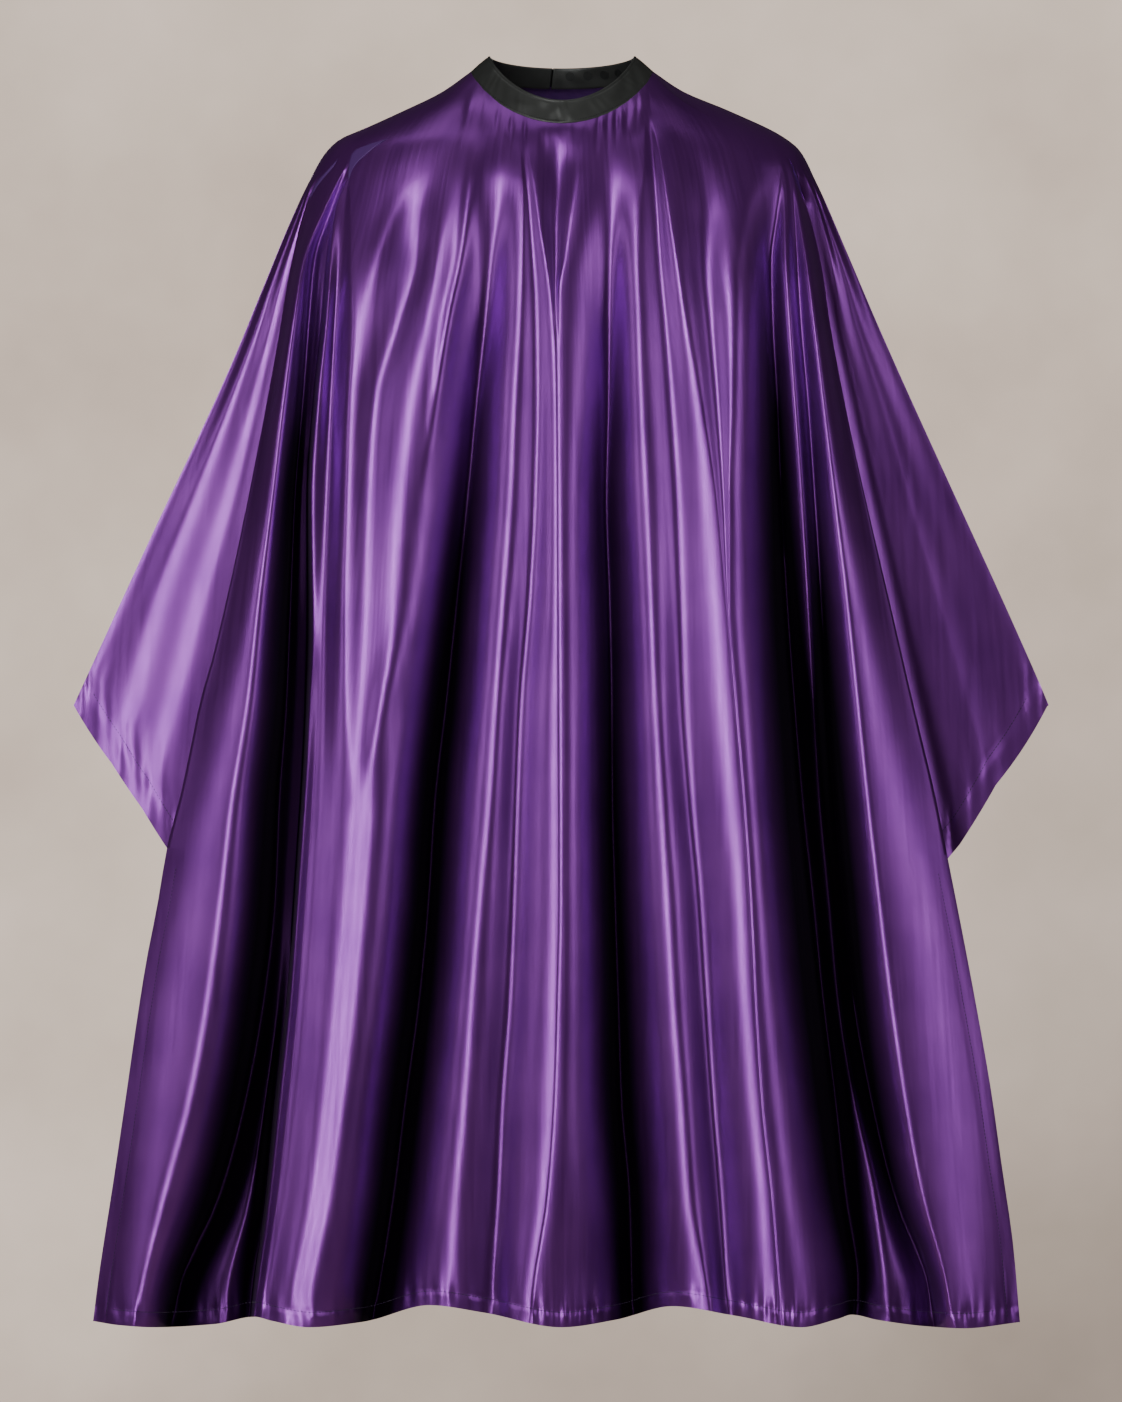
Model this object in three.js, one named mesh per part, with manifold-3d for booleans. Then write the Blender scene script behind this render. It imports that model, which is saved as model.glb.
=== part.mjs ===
/**
 * Barber cape: one satin sheet that hangs from a stand-up neckband. The neckband's two back arms overlap
 * behind the neck, where a strap with snap fasteners closes it.
 *
 * Millimetres, +Z up, the wearer's front towards -Y. The origin is the middle of the neck opening.
 */
import * as THREE from 'three';
import { mergeVertices } from 'three/addons/utils/BufferGeometryUtils.js';
import Module from 'manifold-3d';

const { lerp, smoothstep } = THREE.MathUtils;
const wasm = await Module();
wasm.setup();

// Clearances between neighbouring pieces.
const SEAM_GAP = 0.5; // between two areas of the sheet that meet edge to edge
const LAYER_GAP = 0.3; // between layers that lie on each other
const SNAP_CLEARANCE = 0.4; // between a stud and its socket, along the stud

// Sheet.
const SHEET_THICKNESS = 2;
const FRONT_DROP = 1180; // from the origin down to the front hem
const HEM_HALF_WIDTH = 440;
const HEM_DEPTH = 172; // from the shoulder line forward to the front hem
const SHOULDER_HALF_WIDTH = 213;
const SHOULDER_DROP = 64;
const CHEST_DEPTH = 125;
const CHEST_DROP = 150;
const PANEL_FLARE = 0.8; // below 1 the front widens fastest near the shoulders
const FOLD_COUNT = 6;
const FOLD_DEPTH = 16;
const FRONT_COLUMNS = 46;
const SIDE_COLUMNS = 10; // of the front's columns, on each side
const FRONT_ROWS = 12;
const YOKE_SHARE = 0.24; // of the sheet's rows, between the neck and the shoulders

// Wings: the sheet's sides, which fall in front of and behind a slanting fold.
const WING_HALF_SPAN = 462.5;
const WING_DROP = 596;
const WING_TOP_DROP = 112;
const WING_NOTCH_DROP = 715;
const WING_TUCK = 26; // how far a wing reaches in behind the front's edge
const WING_SET_BACK = 9; // from the front's edge back to the wing's tucked edge
const WING_TIP_SET_BACK = 24;
const FOLD_LINE_BOW = 0.93; // below 1 the fold bows outwards

// Back.
const SHOULDER_BACK_DEPTH = 106;
const SHOULDER_BACK_DROP = 92;
const SLIT_DROP = 310;
const SLIT_HALF_GAP = 18; // at the back hem
const BACK_DEPTH = 130;
const BACK_HEM_SAG = 500; // from the slit's corner down to the back hem's control point
const BACK_HEM_BULGE = 60;

// Neckband: a flared strip, wider where the sheet is sewn on.
const NECK_HALF_WIDTH = 87.5;
const NECK_FRONT_DEPTH = 70;
const NECK_BACK_DEPTH = 72;
const NECK_SIDE_RISE = 5;
const NECK_FRONT_FALL = 48; // from the side of the neck down to the front
const NECK_BACK_FALL = 7;
const FALL_EASE = 1.5; // above 1 the neck edge leaves the shoulders level
const BAND_FLARE = 18.5; // how much wider the base is than the top, on each side
const BAND_FRONT_FLARE = 8;
const BAND_RISE_SIDE = 16;
const BAND_RISE_FRONT = 23;
const BAND_RISE_BACK = 24;
const BAND_THICKNESS = 2.4;
const COVER_SKIN = 0.5;
const ARM_SWEEP_DROP = 2.6; // the back's neck edge lies this much lower, clear of the arms as they open
const CLOTH_EDGE_OFFSET = 0.5; // the sheet's neck edge, outwards and down from the band's base

// Closure, in millimetres along the band from the middle of the back, positive to the wearer's left (+X).
const LEFT_ARM_END = -11;
const RIGHT_ARM_END = -9.5;
const STRAP_ROOT = -18;
const STRAP_TIP_MARGIN = 9; // from the last covered stud to the strap's tip
const FIRST_STUD = 8;
const STUD_PITCH = 18;
const STUD_COUNT = 4;
const COVERED_STUDS = 2;
const SNAP_RADIUS = 4.5;
const STUD_RADIUS = 2;
const STUD_HEIGHT = 1.6;
const SNAP_PLATE = 0.6;
const SHANK_RADIUS = 1.2;
const CAP_RADIUS = 6;
const CAP_RISE = 1.8;
const SOCKET_SIDE_CLEARANCE = 0.7;

// Stitching.
const THREAD_SIZE = 0.8;
const THREAD_CLEARANCE = 0.5; // above the cloth
const HEM_WIDTH = 14;
const NECK_SEAM_RISE = 2.5;

const fabricPurple = { color: 0x6d3b92, roughness: 0.38, metalness: 0.2 };
const threadPurple = { color: 0x532a73, roughness: 0.7, metalness: 0 };
const fabricBlack = { color: 0x161617, roughness: 0.42, metalness: 0.1 };
const threadBlack = { color: 0x0e0e0f, roughness: 0.7, metalness: 0 };
const coreGrey = { color: 0x8f9092, roughness: 0.9, metalness: 0 };
const snapBlack = { color: 0x1d1d1f, roughness: 0.35, metalness: 0.6 };
const snapSteel = { color: 0xb9bbbe, roughness: 0.25, metalness: 1 };

const cape = new THREE.Group();

/** Adds one named piece. */
function addPiece(name, geometry, finish) {
  const mesh = new THREE.Mesh(geometry, new THREE.MeshStandardMaterial(finish));
  mesh.name = name;
  cape.add(mesh);
  return mesh;
}

/** Leaves only shared positions, with the faces pointing out. */
function closeGeometry(geometry) {
  geometry.deleteAttribute('normal');
  geometry.deleteAttribute('uv');
  const merged = mergeVertices(geometry, 1e-4);
  const position = merged.getAttribute('position');
  const corners = [new THREE.Vector3(), new THREE.Vector3(), new THREE.Vector3()];
  const kept = [];
  let volume = 0;
  for (let i = 0; i < merged.index.count; i += 3) {
    const triangle = [merged.index.getX(i), merged.index.getX(i + 1), merged.index.getX(i + 2)];
    if (new Set(triangle).size < 3) continue;
    corners.forEach((corner, k) => corner.fromBufferAttribute(position, triangle[k]));
    volume += corners[0].dot(corners[1].clone().cross(corners[2]));
    kept.push(triangle);
  }
  const ordered = volume < 0 ? kept.map(([a, b, c]) => [a, c, b]) : kept;
  merged.setIndex(ordered.flat());
  return merged;
}

function toSolid(geometry) {
  const closed = closeGeometry(geometry);
  const mesh = new wasm.Mesh({
    numProp: 3,
    vertProperties: Float32Array.from(closed.getAttribute('position').array),
    triVerts: Uint32Array.from(closed.index.array),
  });
  return new wasm.Manifold(mesh);
}

function toGeometry(solid) {
  const mesh = solid.getMesh();
  const geometry = new THREE.BufferGeometry();
  geometry.setAttribute('position', new THREE.BufferAttribute(Float32Array.from(mesh.vertProperties), 3));
  geometry.setIndex(Array.from(mesh.triVerts));
  return geometry;
}

/** A block bent into shape: place(u, v, w) gives the point for shares 0 to 1 along its three sides. */
function bentBlock(place, slices, stacks) {
  const geometry = new THREE.BoxGeometry(1, 1, 1, slices, stacks, 1);
  const position = geometry.getAttribute('position');
  for (let i = 0; i < position.count; i += 1) {
    const point = place(position.getX(i) + 0.5, position.getY(i) + 0.5, position.getZ(i) + 0.5);
    position.setXYZ(i, point.x, point.y, point.z);
  }
  return closeGeometry(geometry);
}

/** The unit normal of surface(u, v), on the side that outward(point) leans to. */
function surfaceNormal(surface, outward, u, v) {
  const step = 1e-3;
  const along = surface(u + step, v).sub(surface(u - step, v));
  const down = surface(u, v + step).sub(surface(u, v - step));
  const normal = along.cross(down).normalize();
  const facesOut = normal.dot(outward(surface(u, v))) > 0;
  return facesOut ? normal : normal.negate();
}

/** A sheet of cloth: surface(u, v) is its outer face and the thickness goes inwards. */
function sheet(surface, outward, slices, stacks) {
  return bentBlock((u, v, w) => {
    const normal = surfaceNormal(surface, outward, u, v);
    return surface(u, v).addScaledVector(normal, -SHEET_THICKNESS * w);
  }, slices, stacks);
}

/** A stitched thread that lies on the outside of a surface, along route(t), with a bend at each slice. */
function thread(surface, outward, route, slices) {
  return bentBlock((t, across, rise) => {
    const [u, v] = route(t);
    const normal = surfaceNormal(surface, outward, u, v);
    const ahead = surface(...route(t + 1e-3)).sub(surface(...route(t - 1e-3)));
    const sideways = normal.clone().cross(ahead).normalize();
    return surface(u, v)
      .addScaledVector(sideways, THREAD_SIZE * (across - 0.5))
      .addScaledVector(normal, THREAD_CLEARANCE + THREAD_SIZE * rise);
  }, slices, 1);
}

// ---- Sheet surfaces ----

/** A point of an oval round the neck. The angle is 0 at the front and positive towards +X. */
function oval(angle, halfWidth, frontDepth, backDepth, sideZ, frontZ, backZ) {
  const ahead = Math.cos(angle);
  const depth = ahead > 0 ? frontDepth : backDepth;
  const endZ = ahead > 0 ? frontZ : backZ;
  const z = lerp(sideZ, endZ, Math.abs(ahead) ** FALL_EASE);
  return new THREE.Vector3(halfWidth * Math.sin(angle), -depth * ahead, z);
}

/** The sheet's edge at the neck, just outside and under the band's base. */
function neckEdge(angle) {
  const sideZ = NECK_SIDE_RISE - CLOTH_EDGE_OFFSET;
  return oval(
    angle,
    NECK_HALF_WIDTH + CLOTH_EDGE_OFFSET,
    NECK_FRONT_DEPTH + CLOTH_EDGE_OFFSET,
    NECK_BACK_DEPTH + CLOTH_EDGE_OFFSET,
    sideZ,
    sideZ - NECK_FRONT_FALL,
    sideZ - NECK_BACK_FALL,
  );
}

/** How far below the shoulders a height is, as a share of the front's drop. */
function dropShare(z) {
  return (-z - SHOULDER_DROP) / (FRONT_DROP - SHOULDER_DROP);
}

function panelHalfWidth(share) {
  return lerp(SHOULDER_HALF_WIDTH, HEM_HALF_WIDTH, Math.max(share, 0) ** PANEL_FLARE);
}

/** The front, from the wearer's right (u = 0, -X) to left, and from the neck (v = 0) to the hem. */
function frontSurface(u, v) {
  const angle = (u - 0.5) * Math.PI;
  const shoulder = (share) => oval(
    angle,
    panelHalfWidth(share),
    lerp(CHEST_DEPTH, HEM_DEPTH, share),
    SHOULDER_BACK_DEPTH,
    lerp(-SHOULDER_DROP, -FRONT_DROP, share),
    lerp(-CHEST_DROP, -FRONT_DROP, share),
    -SHOULDER_BACK_DROP,
  );
  if (v < YOKE_SHARE) return neckEdge(angle).lerp(shoulder(0), v / YOKE_SHARE);
  const share = (v - YOKE_SHARE) / (1 - YOKE_SHARE);
  const fold = FOLD_DEPTH * share * Math.cos(angle) * Math.cos(2 * FOLD_COUNT * angle);
  const point = shoulder(share);
  point.y -= fold;
  return point;
}

const frontOutward = (point) => new THREE.Vector3(point.x / HEM_HALF_WIDTH, -1, 0.6);

/** The slanting fold over which a wing falls, on the side of the sign, from the shoulder to the tip. */
function foldLine(side, t) {
  return new THREE.Vector3(
    side * lerp(SHOULDER_HALF_WIDTH + 2, WING_HALF_SPAN, t ** FOLD_LINE_BOW),
    lerp(1, WING_TIP_SET_BACK, t),
    -lerp(SHOULDER_DROP, WING_DROP, t),
  );
}

const WING_TOP = (WING_TOP_DROP - SHOULDER_DROP) / (WING_DROP - SHOULDER_DROP);

/** A wing's front layer, from the fold (u = 0) to the edge tucked behind the front. */
function wingSurface(side) {
  return (u, v) => {
    const outer = foldLine(side, lerp(WING_TOP, 1, v));
    const z = -lerp(WING_TOP_DROP + WING_TUCK, WING_NOTCH_DROP, v);
    const x = side * (panelHalfWidth(dropShare(z)) - WING_TUCK);
    return outer.lerp(new THREE.Vector3(x, WING_SET_BACK, z), u);
  };
}

const wingOutward = () => new THREE.Vector3(0, -1, 0);

/** Half of the back, from the shoulder and the fold (u = 0) to the slit, and from the neck to the hem. */
function backSurface(side) {
  const layers = SHEET_THICKNESS * 2 + SEAM_GAP;
  return (u, v) => {
    const turn = (u * Math.PI) / 2;
    const atNeck = neckEdge(side * (Math.PI / 2 + turn));
    atNeck.x += side * SEAM_GAP * u;
    atNeck.y += SEAM_GAP;
    atNeck.z -= ARM_SWEEP_DROP;
    const atShoulder = new THREE.Vector3(
      side * lerp(SLIT_HALF_GAP / 2, SHOULDER_HALF_WIDTH, Math.cos(turn)),
      SEAM_GAP + SHOULDER_BACK_DEPTH * Math.sin(turn),
      -lerp(SHOULDER_DROP, SHOULDER_BACK_DROP, Math.sin(turn)),
    );
    if (v < YOKE_SHARE) return atNeck.lerp(atShoulder, v / YOKE_SHARE);
    const share = (v - YOKE_SHARE) / (1 - YOKE_SHARE);
    const edge = foldLine(side, Math.max(share, 0));
    edge.y += layers * smoothstep(share, 0, WING_TOP * 0.8);
    const slitCorner = new THREE.Vector3(side * SLIT_HALF_GAP, BACK_DEPTH, -SLIT_DROP);
    const pull = new THREE.Vector3(
      side * lerp(SHOULDER_HALF_WIDTH, WING_HALF_SPAN, 0.45),
      BACK_DEPTH + BACK_HEM_BULGE,
      -(SLIT_DROP + BACK_HEM_SAG),
    );
    const tip = foldLine(side, 1);
    tip.y += layers;
    const hem = new THREE.QuadraticBezierCurve3(tip, pull, slitCorner).getPoint(u);
    const inner = atShoulder.lerp(hem, share);
    return edge.lerp(inner, smoothstep(u, 0, 0.3));
  };
}

const backOutward = (point) => new THREE.Vector3(point.x / WING_HALF_SPAN, 1, 0.6);

// ---- Sheet pieces ----

/** The length of the front across, at height share v. */
function frontArc(v) {
  const across = frontSurface(1, v).x;
  const forward = -frontSurface(0.5, v).y;
  return Math.PI * Math.hypot(across, forward) * Math.SQRT1_2;
}

/** Shortens the front's width range by the seam gap at each inner edge. */
function frontArea(from, to) {
  return (u, v) => {
    const gap = SEAM_GAP / frontArc(Math.min(Math.max(v, 0), 1));
    const low = from > 0 ? from + gap / 2 : 0;
    const high = to < 1 ? to - gap / 2 : 1;
    return frontSurface(lerp(low, high, u), v);
  };
}

const frontAreas = {
  cape_front_left: [0, SIDE_COLUMNS],
  cape_front_centre: [SIDE_COLUMNS, FRONT_COLUMNS - SIDE_COLUMNS],
  cape_front_right: [FRONT_COLUMNS - SIDE_COLUMNS, FRONT_COLUMNS],
};
for (const [name, [from, to]] of Object.entries(frontAreas)) {
  const area = frontArea(from / FRONT_COLUMNS, to / FRONT_COLUMNS);
  addPiece(name, sheet(area, frontOutward, to - from, FRONT_ROWS), fabricPurple);
}

for (const [word, side] of [['left', -1], ['right', 1]]) {
  addPiece(`cape_wing_${word}`, sheet(wingSurface(side), wingOutward, 4, 8), fabricPurple);
  addPiece(`cape_back_${word}`, sheet(backSurface(side), backOutward, 12, 14), fabricPurple);
}

// ---- Hem stitching ----

const frontLength = (1 - YOKE_SHARE) / (FRONT_DROP - CHEST_DROP);
const frontHemRow = 1 - HEM_WIDTH * frontLength;
const sideHemShare = HEM_WIDTH / frontArc(1);
addPiece('front_hem_thread',
  thread(frontSurface, frontOutward, (t) => [t, frontHemRow], FRONT_COLUMNS), threadPurple);

for (const [word, side] of [['left', -1], ['right', 1]]) {
  const acrossFront = side < 0 ? sideHemShare : 1 - sideHemShare;
  const wing = wingSurface(side);
  const wingHemRow = 1 - HEM_WIDTH / wing(0, 0).distanceTo(wing(0, 1));
  const back = backSurface(side);
  const backHemRow = 1 - (HEM_WIDTH * (1 - YOKE_SHARE)) / back(0, YOKE_SHARE).distanceTo(back(0, 1));
  const slitShare = 1 - HEM_WIDTH / (SHOULDER_HALF_WIDTH * Math.PI * 0.5);
  addPiece(`side_hem_thread_${word}`,
    thread(frontSurface, frontOutward, (t) => [acrossFront, lerp(0.72, 0.98, t)], 8), threadPurple);
  addPiece(`wing_hem_thread_${word}`,
    thread(wing, wingOutward, (t) => [lerp(0.06, 0.6, t), wingHemRow], 4), threadPurple);
  addPiece(`back_hem_thread_${word}`,
    thread(back, backOutward, (t) => [lerp(0.08, 0.92, t), backHemRow], 16), threadPurple);
  addPiece(`slit_thread_${word}`,
    thread(back, backOutward, (t) => [slitShare, lerp(0.3, 0.97, t)], 6), threadPurple);
}

// ---- Neckband ----

function bandBase(angle) {
  return oval(
    angle,
    NECK_HALF_WIDTH,
    NECK_FRONT_DEPTH,
    NECK_BACK_DEPTH,
    NECK_SIDE_RISE,
    NECK_SIDE_RISE - NECK_FRONT_FALL,
    NECK_SIDE_RISE - NECK_BACK_FALL,
  );
}

function bandTop(angle) {
  return oval(
    angle,
    NECK_HALF_WIDTH - BAND_FLARE,
    NECK_FRONT_DEPTH - BAND_FRONT_FLARE,
    NECK_BACK_DEPTH - BAND_FRONT_FLARE,
    NECK_SIDE_RISE + BAND_RISE_SIDE,
    NECK_SIDE_RISE - NECK_FRONT_FALL + BAND_RISE_FRONT,
    NECK_SIDE_RISE - NECK_BACK_FALL + BAND_RISE_BACK,
  );
}

const bandSurface = (angle, rise) => bandBase(angle).lerp(bandTop(angle), rise);
const bandOutward = (point) => new THREE.Vector3(point.x, point.y, 0);
const bandNormal = (angle, rise) => surfaceNormal(bandSurface, bandOutward, angle, rise);
const BAND_HEIGHT = bandBase(Math.PI).distanceTo(bandTop(Math.PI));
const BACK_RADIUS = NECK_HALF_WIDTH - BAND_FLARE / 2;

/** A point of the band: rise is a share of its height and depth goes in from its outer face. */
function bandPoint(angle, rise, depth) {
  return bandSurface(angle, rise).addScaledVector(bandNormal(angle, rise), -depth);
}

/** The angle for a distance along the band from the middle of the back, positive towards +X. */
function closureAngle(distance) {
  return -Math.PI - distance / BACK_RADIUS;
}

/** A length of band, between two angles, two shares of its height and two depths. */
function bandBlock([fromAngle, toAngle], [low, high], [outer, inner], slices) {
  return bentBlock(
    (u, v, w) => bandPoint(lerp(fromAngle, toAngle, u), lerp(low, high, v), lerp(outer, inner, w)),
    slices,
    1,
  );
}

/** A length of band as a folded cover, open underneath, and the stiff core inside it. */
function bandSection(angles, outer, slices, holes) {
  const inner = outer + BAND_THICKNESS;
  const endSkin = (COVER_SKIN / BACK_RADIUS) * Math.sign(angles[1] - angles[0]);
  const endGap = endSkin * (1 + LAYER_GAP / COVER_SKIN);
  const pocketTop = 1 - COVER_SKIN / BAND_HEIGHT;
  const coreTop = pocketTop - LAYER_GAP / BAND_HEIGHT;
  const coreSkin = COVER_SKIN + LAYER_GAP;
  const pocketAngles = [angles[0] + endSkin, angles[1] - endSkin];
  const coreAngles = [angles[0] + endGap, angles[1] - endGap];
  const body = toSolid(bandBlock(angles, [0, 1], [outer, inner], slices));
  const pocket = toSolid(
    bandBlock(pocketAngles, [-0.2, pocketTop], [outer + COVER_SKIN, inner - COVER_SKIN], slices));
  let cover = body.subtract(pocket);
  let core = toSolid(bandBlock(coreAngles, [0.02, coreTop], [outer + coreSkin, inner - coreSkin], slices));
  for (const hole of holes) {
    cover = cover.subtract(hole);
    core = core.subtract(hole);
  }
  return { cover: toGeometry(cover), core: toGeometry(core) };
}

/** Stands a turned piece on the band: its own +Y goes outwards and its foot is at height from the face. */
function standOnBand(geometry, distance, height) {
  const angle = closureAngle(distance);
  const normal = bandNormal(angle, 0.5);
  const turn = new THREE.Quaternion().setFromUnitVectors(new THREE.Vector3(0, 1, 0), normal);
  geometry.applyQuaternion(turn);
  const foot = bandPoint(angle, 0.5, -height);
  geometry.translate(foot.x, foot.y, foot.z);
  return closeGeometry(geometry);
}

/** A turned piece from its half section, as [radius, height] pairs. */
function turned(profile) {
  return new THREE.LatheGeometry(profile.map(([radius, height]) => new THREE.Vector2(radius, height)), 16);
}

// Heights above the underlap's outer face.
const STUD_FOOT = LAYER_GAP;
const STUD_TOP = STUD_FOOT + SNAP_PLATE + STUD_HEIGHT;
const SOCKET_FOOT = STUD_FOOT + SNAP_PLATE + SNAP_CLEARANCE;
const SOCKET_ROOF = STUD_TOP + SNAP_CLEARANCE;
const SOCKET_TOP = SOCKET_ROOF + SNAP_PLATE;
const STRAP_FOOT = SOCKET_TOP + LAYER_GAP;
const STRAP_TOP = STRAP_FOOT + BAND_THICKNESS;

const studPlaces = Array.from({ length: STUD_COUNT }, (_, i) => FIRST_STUD + i * STUD_PITCH);
const coveredPlaces = studPlaces.slice(0, COVERED_STUDS);
const strapTip = coveredPlaces[COVERED_STUDS - 1] + STRAP_TIP_MARGIN;

/** A hole for a snap's shank, through everything between two heights. */
function shankHole(distance, low, high) {
  const cylinder = new THREE.CylinderGeometry(SHANK_RADIUS + LAYER_GAP, SHANK_RADIUS + LAYER_GAP, high - low, 12);
  cylinder.translate(0, (high - low) / 2, 0);
  return toSolid(standOnBand(cylinder, distance, low));
}

const SIDE = Math.PI / 2;
const sideGap = SEAM_GAP / 2 / NECK_FRONT_DEPTH;
const armHoles = studPlaces.map((distance) => shankHole(distance, -BAND_THICKNESS - 1, 1));
const strapHoles = coveredPlaces.map((distance) => shankHole(distance, STRAP_FOOT - 1, STRAP_TOP + 1));
const bandSections = {
  neckband_front: bandSection([-SIDE + sideGap, SIDE - sideGap], 0, 18, []),
  neckband_left: bandSection([-SIDE - sideGap, closureAngle(LEFT_ARM_END)], 0, 9, []),
  neckband_right: bandSection([-3 * SIDE + sideGap, closureAngle(RIGHT_ARM_END)], 0, 11, armHoles),
  closure_strap: bandSection([closureAngle(STRAP_ROOT), closureAngle(strapTip)], -STRAP_TOP, 8, strapHoles),
};
for (const [name, section] of Object.entries(bandSections)) {
  addPiece(`${name}_cover`, section.cover, fabricBlack);
  addPiece(`${name}_core`, section.core, coreGrey);
}

// The line of stitches that sews the sheet into each section of the band.
const seamRise = NECK_SEAM_RISE / BAND_HEIGHT;
const seams = {
  front: [-SIDE + 0.05, SIDE - 0.05, 24],
  left: [-SIDE - 0.05, closureAngle(STRAP_ROOT) + 0.05, 10],
  right: [-3 * SIDE + 0.05, closureAngle(RIGHT_ARM_END) - 0.05, 12],
};
for (const [word, [from, to, steps]] of Object.entries(seams)) {
  addPiece(`neck_seam_thread_${word}`,
    thread(bandSurface, bandOutward, (t) => [lerp(from, to, t), seamRise], steps), threadBlack);
}

// ---- Snap fasteners ----

studPlaces.forEach((distance, i) => {
  const stud = turned([
    [0, 0], [SNAP_RADIUS, 0], [SNAP_RADIUS, SNAP_PLATE], [STUD_RADIUS, SNAP_PLATE],
    [STUD_RADIUS, SNAP_PLATE + STUD_HEIGHT], [0, SNAP_PLATE + STUD_HEIGHT],
  ]);
  addPiece(`snap_stud_${i + 1}`, standOnBand(stud, distance, STUD_FOOT), snapSteel);
  const shankLength = BAND_THICKNESS + LAYER_GAP;
  const post = turned([
    [0, 0], [SNAP_RADIUS, 0], [SNAP_RADIUS, SNAP_PLATE], [SHANK_RADIUS, SNAP_PLATE],
    [SHANK_RADIUS, SNAP_PLATE + shankLength], [0, SNAP_PLATE + shankLength],
  ]);
  addPiece(`snap_post_${i + 1}`,
    standOnBand(post, distance, -BAND_THICKNESS - LAYER_GAP - SNAP_PLATE), snapSteel);
});

coveredPlaces.forEach((distance, i) => {
  const cavity = STUD_RADIUS + SOCKET_SIDE_CLEARANCE;
  const height = SOCKET_TOP - SOCKET_FOOT;
  const socket = turned([
    [0, SOCKET_ROOF - SOCKET_FOOT], [cavity, SOCKET_ROOF - SOCKET_FOOT], [cavity, 0],
    [SNAP_RADIUS, 0], [SNAP_RADIUS, height], [0, height],
  ]);
  addPiece(`snap_socket_${i + 1}`, standOnBand(socket, distance, SOCKET_FOOT), snapSteel);
  const shankLength = BAND_THICKNESS + LAYER_GAP;
  const cap = turned([
    [0, 0], [SHANK_RADIUS, 0], [SHANK_RADIUS, shankLength], [CAP_RADIUS, shankLength],
    [CAP_RADIUS * 0.92, shankLength + CAP_RISE * 0.55], [CAP_RADIUS * 0.6, shankLength + CAP_RISE * 0.9],
    [0, shankLength + CAP_RISE],
  ]);
  addPiece(`snap_cap_${i + 1}`, standOnBand(cap, distance, STRAP_FOOT), snapBlack);
});

export default cape;
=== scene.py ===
"""The barber cape's looks: draped satin sheet, black stand-up neckband, stitching, snaps, floor and lights."""

from __future__ import annotations

import logging
import math
from dataclasses import dataclass
from enum import Enum
from typing import Callable, Iterable, Sequence

import bmesh
import bpy
import numpy as np
from mathutils import Matrix, Vector

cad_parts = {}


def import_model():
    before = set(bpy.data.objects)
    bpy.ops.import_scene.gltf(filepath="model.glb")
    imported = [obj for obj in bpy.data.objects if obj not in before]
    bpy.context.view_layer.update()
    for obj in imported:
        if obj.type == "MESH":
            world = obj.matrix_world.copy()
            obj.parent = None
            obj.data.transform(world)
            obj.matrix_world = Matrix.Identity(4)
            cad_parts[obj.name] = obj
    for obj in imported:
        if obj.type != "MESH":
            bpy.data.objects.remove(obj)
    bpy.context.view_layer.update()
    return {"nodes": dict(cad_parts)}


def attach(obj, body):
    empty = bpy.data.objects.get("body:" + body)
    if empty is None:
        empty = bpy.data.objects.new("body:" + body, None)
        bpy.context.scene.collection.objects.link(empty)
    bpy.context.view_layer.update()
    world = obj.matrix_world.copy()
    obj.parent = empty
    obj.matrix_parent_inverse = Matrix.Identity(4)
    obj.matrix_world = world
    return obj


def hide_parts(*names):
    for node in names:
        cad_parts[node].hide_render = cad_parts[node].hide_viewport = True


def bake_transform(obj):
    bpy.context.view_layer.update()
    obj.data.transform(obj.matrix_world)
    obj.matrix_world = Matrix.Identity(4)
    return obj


log = logging.getLogger("cape")

# Lengths are in mm unless a name or comment says metres. Drops are measured down from the neck's level.
MM = 0.001
EYE_DISTANCE = 5000.0
EYE_DROP = 592.0
NECK_HALF_WIDTH = 87.5
NECK_FRONT_DEPTH = 70.0
NECK_BACK_DEPTH = 72.0
NECK_SIDE_RISE = 5.0
NECK_FRONT_FALL = 55.5
NECK_BACK_FALL = 7.0
FALL_EASE = 1.5
BAND_FLARE = 18.5
BAND_FRONT_FLARE = 8.0
BAND_BACK_FLARE = 6.33
BAND_RISE_SIDE = 16.0
BAND_RISE_FRONT = 23.0
BAND_RISE_BACK = 19.0
BAND_THICKNESS = 2.4
CLOTH_TUCK = 1.0
STRAP_FOOT = 3.8
BACK_RADIUS = NECK_HALF_WIDTH - BAND_FLARE / 2
LEFT_ARM_END = -11.0
RIGHT_ARM_END = -9.5
STRAP_ROOT = -18.0
STRAP_TIP = 35.0
# Heights of the stitch lines above a hem's edge and in from the sheet's side edge.
HEM_STITCH = 14.0
SIDE_STITCH = 12.0
# The front's length from the upper part's foot to the hem, and the drop that its hem is read at.
SKIRT_LENGTH = 446.0
FRONT_FOOT = 1180.0
# Distance square to a slanting hem for each mm of drop.
WING_SLANT = 0.553
BACK_SLANT = 0.8
# What the camera takes in across at the neck's plane, and its sensor's width.
VIEW_WIDTH = 1331.9
SENSOR_WIDTH = 36.0

Pairs = Sequence[tuple[float, float]]
# A surface to hang cloth on: from places across and down it, its points in mm and how deep in a fold each lies, which
# sets the painted shade in its colour.
Hang = Callable[[np.ndarray, np.ndarray], tuple[np.ndarray, np.ndarray]]


# ---- Small tools ----


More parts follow.
